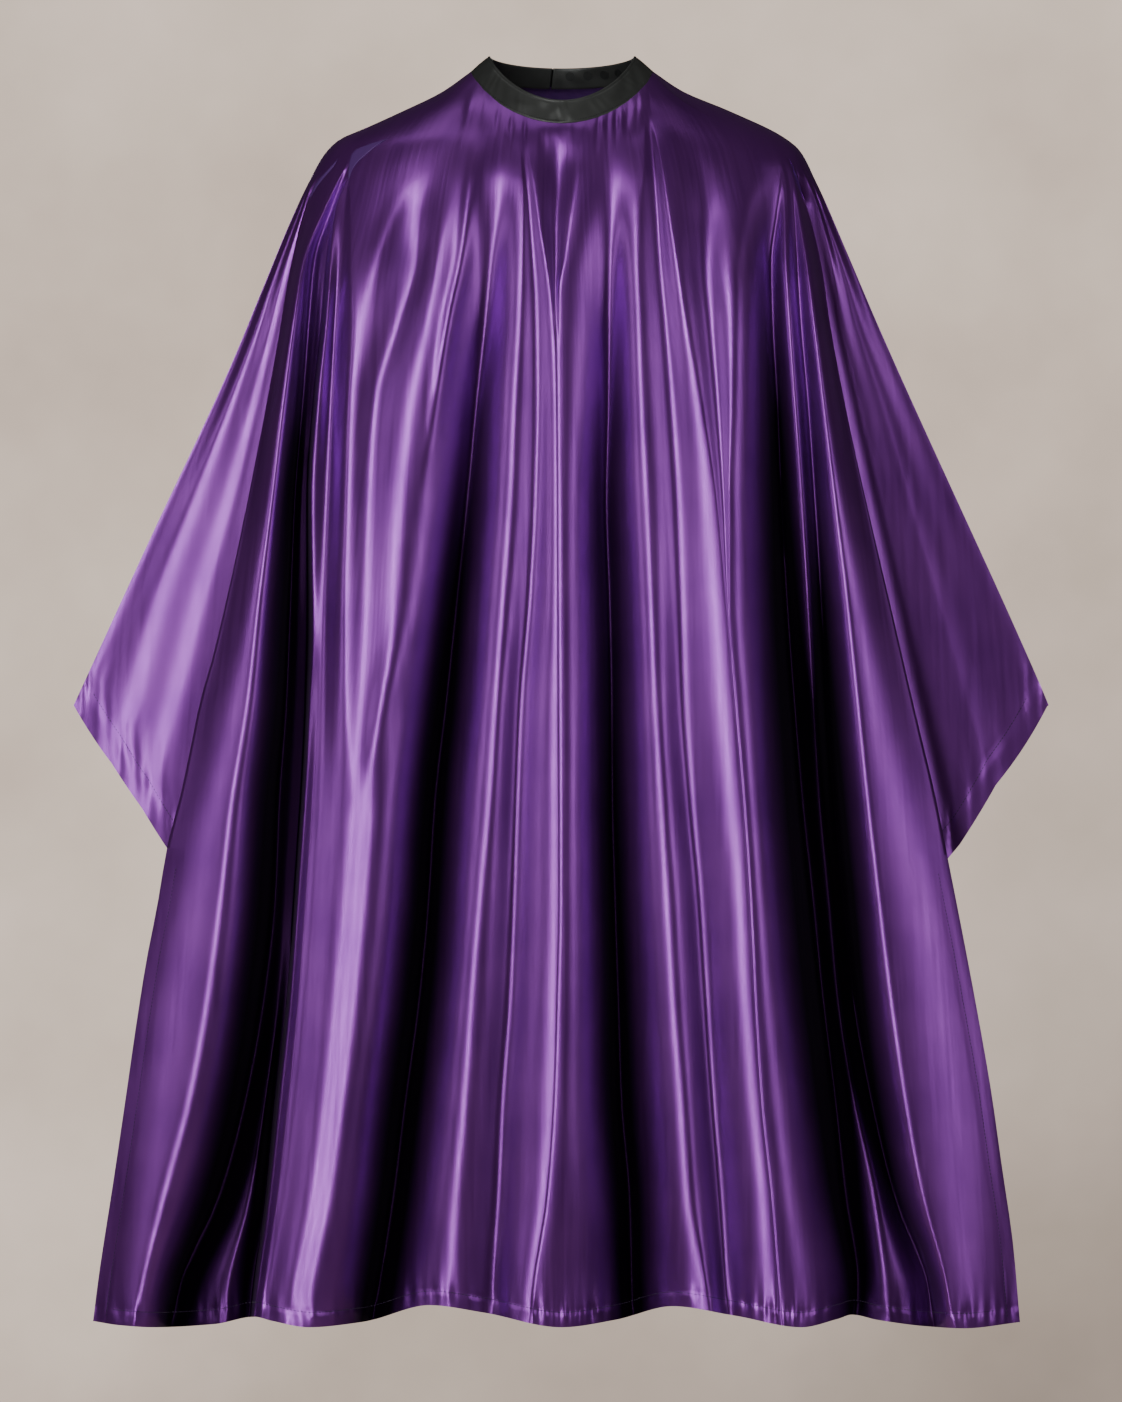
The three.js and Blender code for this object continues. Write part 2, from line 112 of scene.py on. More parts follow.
def curve(points: Pairs, at: np.ndarray, goes_on: bool = False) -> np.ndarray:
    """A smooth line through points that never swings past them.

    Args:
        points: (position, value) pairs, in order of position.
        at: positions to read.
        goes_on: whether it goes on past its ends at the last slope, or stays level.

    Returns:
        The values there.
    """
    x, y = (np.array(column, float) for column in zip(*points))
    at = np.asarray(at, float)
    if not goes_on:
        at = np.clip(at, x[0], x[-1])
    if len(x) == 1:
        return np.full(at.shape, y[0])
    gap = np.diff(x)
    rise = np.diff(y) / gap
    slope = np.empty_like(x)
    slope[0], slope[-1] = rise[0], rise[-1]
    for i in range(1, len(x) - 1):
        a, b = rise[i - 1], rise[i]
        w1, w2 = 2 * gap[i] + gap[i - 1], gap[i] + 2 * gap[i - 1]
        slope[i] = 0.0 if a * b <= 0 else (w1 + w2) / (w1 / a + w2 / b)
    k = np.clip(np.searchsorted(x, at) - 1, 0, len(gap) - 1)
    t = (at - x[k]) / gap[k]
    c = np.clip(t, 0, 1)
    value = (
        (1 + 2 * c) * (1 - c) ** 2 * y[k]
        + c * (1 - c) ** 2 * gap[k] * slope[k]
        + c * c * (3 - 2 * c) * y[k + 1]
        + c * c * (c - 1) * gap[k] * slope[k + 1]
    )
    end_slope = np.where(t < 0, slope[0], slope[-1])
    return value + (t - c) * gap[k] * end_slope


def step(low: float, high: float, at: np.ndarray) -> np.ndarray:
    """A soft step from 0 at low to 1 at high."""
    t = np.clip((np.asarray(at, float) - low) / (high - low), 0, 1)
    return t * t * (3 - 2 * t)


def mix(a: np.ndarray, b: np.ndarray, share: np.ndarray) -> np.ndarray:
    """A value between a and b."""
    return a + (b - a) * share


def hexed(colour: str) -> tuple[float, float, float, float]:
    """Turns an sRGB hex colour into linear RGBA."""
    parts = (int(colour[i : i + 2], 16) / 255 for i in (1, 3, 5))
    linear = [c / 12.92 if c <= 0.04045 else ((c + 0.055) / 1.055) ** 2.4 for c in parts]
    return (*linear, 1.0)


def add_node(tree: bpy.types.NodeTree, kind: str, **settings: object) -> bpy.types.Node:
    """Adds one node.

    Args:
        tree: the node tree.
        kind: the node's class name, without its ShaderNode prefix.
        settings: attributes, or input values where the name is one of its sockets (spaces as _). "stops" gives a
            colour ramp's (position, hex colour) pairs.

    Returns:
        The node.
    """
    node = tree.nodes.new("ShaderNode" + kind)
    for name, value in settings.items():
        if name == "stops":
            for element, (position, colour) in zip(node.color_ramp.elements, value):
                element.position, element.color = position, hexed(colour)
            continue
        if hasattr(node, name):
            setattr(node, name, value)
            continue
        socket = node.inputs[int(name[1:])] if name[1:].isdigit() else node.inputs[name.replace("_", " ")]
        if isinstance(value, bpy.types.NodeSocket):
            tree.links.new(value, socket)
        else:
            socket.default_value = value
    return node


def new_material(name: str) -> tuple[bpy.types.Material, bpy.types.NodeTree]:
    """An empty material and its node tree."""
    material = bpy.data.materials.new(name)
    material.use_nodes = True
    material.node_tree.nodes.clear()
    return material, material.node_tree


def finished(name: str, bm: bmesh.types.BMesh, *materials: bpy.types.Material) -> bpy.types.Object:
    """Turns a bmesh into a smooth-shaded object at the origin and frees it."""
    mesh = bpy.data.meshes.new(name)
    bm.to_mesh(mesh)
    bm.free()
    mesh.shade_smooth()
    piece = bpy.data.objects.new(name, mesh)
    bpy.context.scene.collection.objects.link(piece)
    for material in materials:
        mesh.materials.append(material)
    return piece


def report(piece: bpy.types.Object) -> bpy.types.Object:
    """Logs a finished piece."""
    log.info("%s: %d faces", piece.name, len(piece.data.polygons))
    return piece


def bend(piece: bpy.types.Object) -> None:
    """Bakes a piece's transform into its mesh, leaving it at the origin."""
    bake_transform(piece)


def thicken(piece: bpy.types.Object, thickness: float, inner: int = 0) -> None:
    """Gives a sheet its wall behind the face that is seen.

    Args:
        piece: the sheet, with its normals outwards.
        thickness: the wall, in mm.
        inner: the material slot of the inner face.
    """
    wall = piece.modifiers.new("wall", "SOLIDIFY")
    wall.thickness = thickness * MM
    wall.offset = -1.0
    wall.material_offset = inner
    bpy.context.view_layer.update()
    graph = bpy.context.evaluated_depsgraph_get()
    solid = bpy.data.meshes.new_from_object(piece.evaluated_get(graph), depsgraph=graph)
    piece.modifiers.clear()
    old, piece.data = piece.data, solid
    bpy.data.meshes.remove(old)
    solid.shade_smooth()
    solid.set_sharp_from_angle(angle=math.radians(72))


# ---- Finishes ----


@dataclass(frozen=True)
class Satin:
    """A satin weave: long floats give it a broad sheen, with slight slubs and drag lines that follow the cloth, and
    painted shade deep in its folds.

    Sizes are in metres on the cloth, read from its own UV map, so the pattern hangs with the folds.
    """

    name: str
    colour: str
    deep: str
    sheen_tint: str
    metallic: float = 0.82
    roughness: float = 0.33
    anisotropy: float = 0.35
    wrinkle: float = 0.16
    # The painted shade in folds: fold depths in mm where it starts and where it is full, the share of the colour left
    # there, and the specular level outside folds.
    fold_range: tuple[float, float] = (8.0, 47.0)
    deepest: float = 0.03
    glint: float = 0.6

    def make(self) -> bpy.types.Material:
        """Builds the material."""
        material, tree = new_material(self.name)
        flat = add_node(tree, "TexCoord").outputs["UV"]
        # Drag lines: long soft streaks down the cloth, about 6 mm apart and 140 mm long.
        along = add_node(tree, "Mapping", Vector=flat, Scale=(160.0, 7.0, 1.0))
        drag = add_node(tree, "TexNoise", Vector=along.outputs[0], Scale=1.0, Detail=3.0, Roughness=0.55)
        # Patches where the cloth was pressed or handled, about 70 mm across.
        patch = add_node(tree, "TexNoise", Vector=flat, Scale=14.0, Detail=2.0, Roughness=0.5)
        # The weave's floats: slanting ribs about 0.6 mm apart, coarser than real ones so that they show.
        weave = add_node(
            tree, "TexWave", wave_type="BANDS", bands_direction="DIAGONAL", Vector=flat,
            Scale=700.0, Distortion=1.5, Detail=1.0, Detail_Scale=2.0,
        )
        stops = ((0.3, self.deep), (0.62, self.colour))
        tone = add_node(tree, "ValToRGB", Fac=patch.outputs["Fac"], stops=stops)
        # Painted shade: deep in a fold the two sides of the cloth face each other and hold almost no light, so the
        # colour is darkened there, down to a share of deepest.
        fold = add_node(tree, "Attribute", attribute_name="fold").outputs["Fac"]
        shade = add_node(
            tree, "MapRange", Value=fold, From_Min=self.fold_range[0], From_Max=self.fold_range[1],
            To_Min=1.0, To_Max=self.deepest,
        )
        tone_in_painted_shade = add_node(tree, "Mix", data_type="RGBA", blend_type="MULTIPLY", _0=1.0)
        tree.links.new(tone.outputs["Color"], tone_in_painted_shade.inputs[6])
        tree.links.new(shade.outputs[0], tone_in_painted_shade.inputs[7])
        gloss = add_node(
            tree, "MapRange", Value=drag.outputs["Fac"], From_Min=0.3, From_Max=0.7,
            To_Min=self.roughness - 0.035, To_Max=self.roughness + 0.045,
        )
        folds = add_node(tree, "Bump", Strength=self.wrinkle, Distance=0.0006, Height=drag.outputs["Fac"])
        cloth = add_node(
            tree, "Bump", Strength=0.05, Distance=0.0001, Height=weave.outputs["Fac"], Normal=folds.outputs[0]
        )
        # The specular level is lowered by the same painted shade, so deep folds give back almost no reflection.
        glint = add_node(tree, "Math", operation="MULTIPLY", _0=shade.outputs[0], _1=self.glint)
        shader = add_node(
            tree, "BsdfPrincipled", Base_Color=tone_in_painted_shade.outputs[2], Metallic=self.metallic,
            Roughness=gloss.outputs[0], Anisotropic=self.anisotropy, Normal=cloth.outputs[0],
            Sheen_Weight=0.06, Sheen_Roughness=0.4, Sheen_Tint=hexed(self.sheen_tint),
            Specular_IOR_Level=glint.outputs[0],
        )
        add_node(tree, "OutputMaterial", Surface=shader.outputs[0])
        return material


@dataclass(frozen=True)
class Twist:
    """Sewing thread: two plies wound round each other, matt."""

    name: str
    colour: str
    deep: str

    def make(self) -> bpy.types.Material:
        """Builds the material."""
        material, tree = new_material(self.name)
        place = add_node(tree, "TexCoord").outputs["Object"]
        # The plies: slanting bands about 0.7 mm apart.
        plies = add_node(
            tree, "TexWave", wave_type="BANDS", bands_direction="DIAGONAL", Vector=place, Scale=500.0, Distortion=0.6
        )
        tone = add_node(tree, "ValToRGB", Fac=plies.outputs["Fac"], stops=((0.0, self.deep), (1.0, self.colour)))
        bump = add_node(tree, "Bump", Strength=0.4, Distance=0.0002, Height=plies.outputs["Fac"])
        shader = add_node(
            tree, "BsdfPrincipled", Base_Color=tone.outputs["Color"], Roughness=0.62,
            Sheen_Weight=0.2, Normal=bump.outputs[0],
        )
        add_node(tree, "OutputMaterial", Surface=shader.outputs[0])
        return material


@dataclass(frozen=True)
class Hard:
    """A hard finish with fine wear: nickel-plated steel, black enamel or floor paint. Its grain is per metre."""

    name: str
    colour: str
    deep: str
    metallic: float
    roughness: float
    grain: float
    bump: float = 0.15

    def make(self) -> bpy.types.Material:
        """Builds the material."""
        material, tree = new_material(self.name)
        place = add_node(tree, "TexCoord").outputs["Object"]
        grain = add_node(tree, "TexNoise", Vector=place, Scale=self.grain, Detail=5.0, Roughness=0.6)
        stops = ((0.35, self.deep), (0.65, self.colour))
        tone = add_node(tree, "ValToRGB", Fac=grain.outputs["Fac"], stops=stops)
        gloss = add_node(
            tree, "MapRange", Value=grain.outputs["Fac"], From_Min=0.3, From_Max=0.7,
            To_Min=self.roughness * 0.8, To_Max=self.roughness * 1.25,
        )
        bump = add_node(tree, "Bump", Strength=self.bump, Distance=0.0002, Height=grain.outputs["Fac"])
        shader = add_node(
            tree, "BsdfPrincipled", Base_Color=tone.outputs["Color"], Metallic=self.metallic,
            Roughness=gloss.outputs[0], Normal=bump.outputs[0],
        )
        add_node(tree, "OutputMaterial", Surface=shader.outputs[0])
        return material


@dataclass(frozen=True)
class Finishes:
    """Every finish of the cape, made once."""

    satin: bpy.types.Material
    satin_back: bpy.types.Material
    band: bpy.types.Material
    thread: bpy.types.Material
    band_thread: bpy.types.Material
    steel: bpy.types.Material
    cap: bpy.types.Material

    @classmethod
    def make(cls) -> "Finishes":
        """Makes them all."""
        return cls(
            satin=Satin("purple_satin", "#974BB6", "#8A41AA", "#D9B6F2").make(),
            satin_back=Satin(
                "purple_satin_reverse", "#6A3A8C", "#5C3180", "#B090CC", metallic=0.2, roughness=0.6, anisotropy=0.1
            ).make(),
            band=Satin(
                "black_satin", "#4B4D4B", "#373937", "#8A8C8A", metallic=0.3, roughness=0.42,
                anisotropy=0.3, wrinkle=0.2,
            ).make(),
            thread=Twist("purple_thread", "#3B1A52", "#200C30").make(),
            band_thread=Twist("black_thread", "#191919", "#070707").make(),
            steel=Hard("nickel_plate", "#C9CBCE", "#A9ABAE", 1.0, 0.22, 500.0).make(),
            cap=Hard("black_enamel", "#303231", "#282A29", 0.2, 0.42, 400.0).make(),
        )


# ---- The neck opening ----


def oval(
    angle: np.ndarray, half_width: float, front: float, back: float, side_z: float, front_z: float, back_z: float
) -> np.ndarray:
    """Points of an oval round the neck, as the frame has it; angle 0 is the front and positive goes to +X."""
    angle = np.asarray(angle, float)
    ahead = np.cos(angle)
    depth = np.where(ahead > 0, front, back)
    end_z = np.where(ahead > 0, front_z, back_z)
    z = side_z + (end_z - side_z) * np.abs(ahead) ** FALL_EASE
    return np.stack([half_width * np.sin(angle), -depth * ahead, z], -1)


def neck_edge(angle: np.ndarray) -> np.ndarray:
    """The sheet's edge at the neck, tucked up inside the band's fold."""
    side = NECK_SIDE_RISE + CLOTH_TUCK
    return oval(
        angle, NECK_HALF_WIDTH - CLOTH_TUCK, NECK_FRONT_DEPTH - CLOTH_TUCK, NECK_BACK_DEPTH - CLOTH_TUCK,
        side, side - NECK_FRONT_FALL, side - NECK_BACK_FALL,
    )


def band_point(angle: np.ndarray, rise: np.ndarray, depth: np.ndarray) -> np.ndarray:
    """Points of the band: rise is a share of its height and depth goes in from its outer face."""

    def face(a: np.ndarray, r: np.ndarray) -> np.ndarray:
        """The outer face."""
        base = oval(
            a, NECK_HALF_WIDTH, NECK_FRONT_DEPTH, NECK_BACK_DEPTH, NECK_SIDE_RISE,
            NECK_SIDE_RISE - NECK_FRONT_FALL, NECK_SIDE_RISE - NECK_BACK_FALL,
        )
        top = oval(
            a, NECK_HALF_WIDTH - BAND_FLARE, NECK_FRONT_DEPTH - BAND_FRONT_FLARE,
            NECK_BACK_DEPTH - BAND_BACK_FLARE, NECK_SIDE_RISE + BAND_RISE_SIDE,
            NECK_SIDE_RISE - NECK_FRONT_FALL + BAND_RISE_FRONT, NECK_SIDE_RISE - NECK_BACK_FALL + BAND_RISE_BACK,
        )
        return base + (top - base) * np.asarray(r, float)[..., None]

    angle, rise, depth = np.broadcast_arrays(*(np.asarray(x, float) for x in (angle, rise, depth)))
    point = face(angle, rise)
    nudge = 1e-3
    normal = np.cross(
        face(angle + nudge, rise) - face(angle - nudge, rise), face(angle, rise + nudge) - face(angle, rise - nudge)
    )
    normal /= np.linalg.norm(normal, axis=-1, keepdims=True)
    inwards = (normal * (point * [1, 1, 0])).sum(-1) < 0
    normal = np.where(inwards[..., None], -normal, normal)
    return point - normal * depth[..., None]


def closure_angle(distance: float) -> float:
    """The angle for a distance along the band from the middle of the back, positive towards +X."""
    return -math.pi - distance / BACK_RADIUS


# ---- The sheet's front ----


class Turn(Enum):
    """How the cloth turns along a line."""

    CREST = "rounded towards the viewer"
    VALLEY = "tight, away from the viewer"


@dataclass(frozen=True)
class Line:
    """A line that the cloth follows from the neck edge down.

    Attributes:
        name: what the line is.
        turn: crest or valley.
        angle: where it leaves the neck edge, in degrees from the front's middle.
        cells: how many columns of cloth lie between it and the next line.
        route: (drop, across) points, as drawn on a board through the neck.
        sunk: (drop, depth) pairs: how far it lies behind the smooth front, or for a wing's line, its own place.
    """

    name: str
    turn: Turn
    angle: float
    cells: int
    route: Pairs
    sunk: Pairs = ((0, 0),)


@dataclass(frozen=True)
class Ridge:
    """A short extra ridge or pull in the cloth.

    Attributes:
        route: (drop, across) points, as drawn on a board through the neck.
        lift: (drop, height) pairs, 0 at both ends.
        spread: half-widths to its left and right.
    """

    route: Pairs
    lift: Pairs
    spread: tuple[float, float]


C, V = Turn.CREST, Turn.VALLEY

LINES: tuple[Line, ...] = (
    Line("left wing fold", V, -90, 18, (
        (14, -115), (31, -150), (47, -185), (59, -212), (73, -226), (98, -240), (131, -255.6), (204, -286),
        (274, -315), (435, -390), (583, -458), (596, -464), (662, -495), (731, -527), (765, -543)),
        ((64, 1), (300, 5), (596, 11), (765, 13))),
    Line("left wing outer ridge", C, -87, 16, (
        (16, -115), (33, -150), (50, -187), (64, -214), (78, -226), (100, -239), (131, -251), (204, -278),
        (230, -286), (306, -313), (401, -348), (496, -383), (591, -407), (651, -428), (760, -465)),
        ((75, -4), (131, -4), (306, -3), (591, 2), (660, 3))),
    Line("left wing inner ridge", C, -85.5, 14, (
        (17, -115), (35, -150), (53, -187), (68, -211), (82, -221), (103, -238), (131, -247), (188, -264),
        (230, -274), (306, -292), (401, -316), (496, -344), (591, -369), (694, -399), (760, -418)),
        ((75, -12), (131, -9), (306, -8), (591, -3), (694, -1))),
    Line("left tuck return", V, -84, 4, (
        (18.5, -115), (36.5, -150), (54.5, -186), (69.5, -209), (77, -215), (92, -224), (131, -233), (173, -237),
        (250, -248), (332, -263), (553, -310), (639, -331), (731, -353), (760, -359)),
        ((75, -18), (131, -14), (306, -22), (591, -14), (760, -12))),
    Line("left tuck", V, -82.5, 8, (
        (19.5, -115), (37.5, -150), (55.5, -185), (70.5, -208), (77, -213), (92, -220), (131, -227), (173, -231),
        (250, -244), (332, -259), (553, -306), (639, -327), (731, -349), (760, -355)),
        ((75, -26), (131, -22), (306, -31), (591, -24), (760, -22))),
    Line("left edge of the front", V, -81, 16, (
        (20, -115), (38, -150), (56, -185), (70, -206), (75, -211), (85, -220), (103, -235.6), (168, -255.6),
        (250, -270), (332, -285), (553, -332.5), (593, -344), (639, -353.4), (679, -362), (731.5, -375.3),
        (787, -384.8), (840, -395.2), (894, -403.8), (973, -415.2), (1050, -426.6), (1137, -440), (1181, -445.6)),
        ((76, 0), (103, 4), (131, 10), (173, 16), (306, 20), (450, 14), (591, 10), (731, 6), (900, 4), (1182, 10))),
    Line("left side ridge", C, -79, 22, (
        (21.5, -115), (41, -150), (60, -183), (77, -202), (90, -209), (125, -226), (173, -246), (230, -255.6),
        (306, -266), (401, -277), (496, -290), (591, -301), (686, -317), (781, -329), (876, -342), (971, -360),
        (1066, -386), (1142, -402), (1182, -410))),
    Line("left groove", V, -77, 8, (
        (22.5, -115), (43, -150), (62.5, -182), (81, -200), (92, -206), (125, -218.5), (173, -234), (230, -240),
        (306, -246), (401, -254), (496, -258), (591, -262), (686, -269), (781, -273), (876, -284), (971, -301),
        (1066, -327), (1142, -361), (1182, -370)),
        ((80, 0), (100, 4), (125, 10), (173, 20), (230, 30), (306, 42), (401, 54), (591, 66), (781, 74),
         (1066, 66), (1142, 58), (1182, 54))),
    Line("left groove's inner fold", C, -76.2, 8, (
        (23, -115), (43.5, -150), (63, -181.6), (82, -199.6), (94, -205.5), (125, -217.4), (173, -229), (230, -234.5),
        (306, -241), (401, -248), (591, -253), (781, -264), (876, -270), (971, -282), (1066, -297), (1142, -318),
        (1182, -325)),
        ((80, 0), (100, 3.5), (125, 9), (173, 17), (230, 27), (306, 39), (401, 51), (591, 64), (781, 72),
         (876, 68), (971, 54), (1066, 42), (1142, 36), (1182, 34))),
    Line("left groove's foot", V, -75.5, 4, (
        (23.5, -115), (44, -150), (64, -181), (83, -199.3), (96, -205), (125, -216.4), (173, -224.5), (230, -229),
        (306, -237), (401, -242.5), (496, -242), (591, -244), (781, -255), (876, -262), (971, -273), (1066, -282),
        (1142, -293), (1182, -297)),
        ((80, 0), (100, 3), (125, 8), (173, 16), (230, 25), (306, 38), (401, 52), (591, 64), (781, 72),
         (1066, 60), (1142, 52), (1182, 48))),
    Line("front's left fold edge", C, -74, 10, (
        (24, -115), (45, -150), (65, -180.5), (84, -199), (98, -204.5), (125, -215), (173, -220), (230, -224),
        (306, -232), (401, -238), (534, -236), (591, -239), (665, -243), (781, -251), (876, -258), (971, -268),
        (1066, -278), (1142, -288), (1182, -293)),
        ((90, 0), (125, 3), (173, 5), (306, 9), (401, 12), (534, 15), (876, 18), (1142, 18))),
    Line("left second valley", V, -72, 14, (
        (26, -115), (48, -150), (68, -180), (86, -198.5), (100, -203), (125, -207.5), (173, -211), (230, -215),
        (306, -219), (401, -223), (496, -227), (591, -230), (665, -234), (876, -249), (1066, -269), (1142, -281),
        (1182, -286)),
        ((90, 0), (125, 4), (173, 9), (230, 14), (306, 18), (401, 18), (534, 15), (665, 12), (876, 11), (1142, 11))),
    Line("left main ridge", C, -70, 16, (
        (28, -113), (52, -150), (71, -199), (92, -203), (125, -200), (173, -199.5), (230, -197), (306, -201),
        (401, -204), (496, -206), (591, -205), (686, -199.5), (781, -206), (876, -215), (971, -225), (1066, -238),
        (1142, -253), (1182, -260))),
    Line("left chest hollow", V, -65, 16, (
        (30, -95), (55, -115), (95, -128), (130, -136), (173, -139), (230, -155), (306, -176), (401, -183),
        (496, -186), (591, -190), (686, -190.5), (781, -197), (876, -206), (971, -217), (1066, -230), (1142, -246),
        (1182, -253)),
        ((55, 0), (95, 3), (130, 7), (173, 10), (230, 10), (306, 8), (401, 5), (496, 3), (591, 1.5), (686, 0.3))),
    Line("left chest ridge", C, -60, 26, (
        (34, -80), (59, -83), (109, -101), (146, -112), (229, -126), (306, -141), (401, -152), (496, -160),
        (591, -173), (686, -181), (781, -189), (876, -198), (971, -209), (1066, -222), (1142, -238), (1182, -246))),
    Line("left chest valley", V, -41, 22, (
        (60, -60), (110, -61), (173, -68), (230, -73), (306, -81), (401, -90), (496, -100), (591, -110),
        (686, -121), (781, -127), (876, -136), (971, -149), (1066, -161), (1142, -173), (1182, -180)),
        ((50, 0), (90, 2), (130, 8), (173, 16), (230, 24), (306, 34), (401, 44), (496, 50), (591, 56), (781, 60),
         (971, 64), (1142, 62), (1182, 60))),
    Line("left middle ridge", C, -28, 16, (
        (55, -41), (114, -37), (173, -38), (230, -40), (306, -44), (401, -48), (496, -55), (591, -62), (686, -68),
        (781, -77), (876, -85), (971, -91), (1066, -99), (1142, -103), (1182, -106)),
        ((60, 0), (600, 2), (1182, 10))),
    Line("middle dip", V, -25, 14, (
        (60, -37), (103, -33), (172, -27.5), (212, -25), (306, -24), (401, -26), (496, -31), (591, -39), (686, -43),
        (781, -46), (876, -50), (971, -57), (1066, -61), (1142, -66), (1182, -68)),
        ((60, 0), (110, 2), (172, 4), (306, 8), (401, 10), (496, 13), (686, 18), (876, 21), (1142, 23))),
    Line("middle ridge's left branch", C, -21, 8, (
        (58, -32), (100, -26), (146, -20), (172, -15.5), (212, -10), (260, -7), (306, -6), (496, -5), (781, -4),
        (876, -6), (971, -9), (1066, -16), (1142, -28), (1182, -32))),
    Line("middle fork", V, -3, 8, (
        (50, -5), (75, -4), (103, -4), (140, -6), (172, -6), (202, -6.5), (260, -4.5), (306, -3.8), (496, -2.8),
        (781, -1.8), (876, -3.8), (971, -6.8), (1066, -13.8), (1142, -25.8), (1182, -29.8)),
        ((46, 0), (70, 4), (103, 8), (140, 7), (172, 5), (202, 3), (250, 0.2))),
    Line("middle ridge", C, 17, 26, (
        (48, 24), (75, 19), (103, 14), (140, 8), (168, 4), (202, -2), (230, -2), (306, -2), (496, -1), (686, 0),
        (781, 0), (876, -2), (971, -5), (1066, -12), (1142, -24), (1182, -28))),
    Line("middle valley", V, 33, 24, (
        (45, 46), (75, 46), (125, 46), (173, 45), (306, 44), (401, 42), (496, 45), (591, 47), (686, 47.5),
        (781, 50), (876, 53), (971, 56), (1066, 64), (1142, 66), (1182, 68)),
        ((50, 0), (75, 2), (125, 8), (173, 16), (230, 23), (306, 31), (401, 40), (591, 46), (781, 52), (971, 58),
         (1142, 56), (1182, 54))),
    Line("right chest ridge", C, 64, 14, (
        (20, 78), (40, 78), (87, 77), (125, 73), (173, 72), (230, 74), (306, 77), (401, 82), (496, 86), (591, 90),
        (686, 96), (781, 102), (876, 107), (971, 115), (1066, 122), (1142, 135), (1182, 140))),
    Line("right chest dip", V, 67, 20, (
        (25, 81), (60, 84), (110, 88), (173, 92), (230, 97), (306, 103), (401, 109), (496, 112), (591, 115),
        (686, 122), (781, 131), (876, 137), (971, 143), (1066, 151), (1142, 156), (1182, 160)),
        ((40, 0), (70, 2), (110, 4), (173, 7), (306, 9), (496, 12), (591, 14), (876, 19), (1142, 21))),
    Line("right pull", C, 69, 10, (
        (30, 84), (74, 94), (125, 102), (172, 109.5), (230, 118), (306, 131), (401, 146), (496, 155), (591, 162),
        (686, 170), (781, 176.5), (876, 181), (971, 187), (1066, 197), (1142, 203), (1182, 206)),
        ((40, 0), (60, -2), (125, -2.5), (230, -1.5), (306, 0))),
    Line("right pull's valley", V, 70, 12, (
        (32, 98), (60, 118), (90, 131), (125, 135), (172, 135), (230, 140), (306, 146.5), (401, 153), (496, 157),
        (591, 164), (686, 172), (781, 178.5), (876, 183), (971, 189), (1066, 199), (1142, 205), (1182, 208)),
        ((50, 0), (90, 4), (140, 8), (230, 9), (306, 7), (401, 3), (496, 0.5))),
    Line("right broad ridge", C, 71, 24, (
        (28, 112), (50, 145), (80, 172), (100, 176), (125, 171), (141, 168), (188, 163), (230, 163), (306, 162),
        (401, 159), (496, 159), (591, 166), (686, 174), (781, 180.5), (876, 185), (971, 191), (1066, 201),
        (1142, 207), (1182, 210))),
    Line("right groove", V, 75, 10, (
        (23, 115), (43, 151), (63, 184), (80, 204), (92, 206), (125, 203), (173, 198), (230, 199.5), (306, 204),
        (401, 208), (496, 213), (591, 219.5), (686, 227), (781, 237), (876, 247), (971, 259), (1066, 269),
        (1142, 280), (1182, 277)),
        ((80, 0), (100, 4), (125, 11), (173, 24), (230, 34), (306, 46), (401, 58), (591, 70), (781, 78),
         (971, 72), (1066, 62), (1142, 54), (1182, 48))),
    Line("right thin ridge", C, 77.5, 10, (
        (22, 115), (41.5, 151), (61, 185), (79, 207), (92, 211), (125, 213.5), (173, 214), (230, 217), (306, 222),
        (401, 229), (496, 235), (591, 240), (686, 246), (781, 255), (876, 263), (971, 278), (1066, 300),
        (1142, 311), (1182, 316)),
        ((80, 0), (125, 3), (173, 6), (230, 10), (306, 16), (401, 24), (496, 34), (591, 46), (686, 60), (781, 66),
         (876, 60), (971, 44), (1066, 34), (1142, 28))),
    Line("right second valley", V, 79.5, 12, (
        (21.5, 115), (40.5, 151), (59.5, 185.5), (78, 209), (92, 214.5), (125, 219), (173, 222), (230, 226),
        (306, 233), (401, 240), (496, 246), (591, 251), (686, 258), (781, 267), (876, 277), (971, 294), (1066, 317),
        (1142, 346), (1182, 352)),
        ((80, 0), (125, 5), (173, 12), (230, 18), (306, 26), (401, 36), (496, 48), (591, 62), (686, 72), (781, 74),
         (876, 68), (971, 56), (1066, 46), (1142, 38))),
    Line("right side ridge", C, 81, 20, (
        (21, 115), (39.5, 151), (58, 186), (76, 212), (92, 219), (138, 227), (173, 233), (230, 240), (306, 249),
        (401, 261), (496, 273), (591, 283), (686, 293), (781, 304), (876, 316), (971, 330), (1066, 347),
        (1142, 366), (1182, 374))),
    Line("right edge of the front", V, 82.5, 8, (
        (20.5, 115), (38, 151), (56, 187), (68, 210), (80, 217.5), (103, 226), (143.5, 238.5), (188, 248),
        (230, 254), (553, 324), (617, 339), (673, 352.5), (738, 365.8), (895, 396), (962, 407.6), (1035, 418),
        (1108, 428.5), (1182, 435)),
        ((76, 0), (103, 4), (131, 10), (173, 16), (306, 22), (450, 16), (591, 12), (738, 8), (900, 6), (1182, 12))),
    Line("right tuck", V, 84, 4, (
        (20, 115), (37, 151), (55, 187), (67, 211), (80, 219), (103, 221), (131, 222), (173, 225), (230, 231),
        (553, 298), (617, 313), (673, 326), (738, 340), (766, 346)),
        ((75, -26), (131, -22), (306, -31), (591, -24), (760, -22))),
    Line("right tuck return", V, 85, 14, (
        (19, 115), (36, 151), (53.5, 187), (66, 212), (80, 221), (103, 225), (131, 227), (173, 230), (230, 235),
        (553, 302), (617, 317), (673, 330), (738, 344), (766, 350)),
        ((75, -18), (131, -14), (306, -22), (591, -14), (760, -12))),
    Line("right wing inner ridge", C, 86.5, 16, (
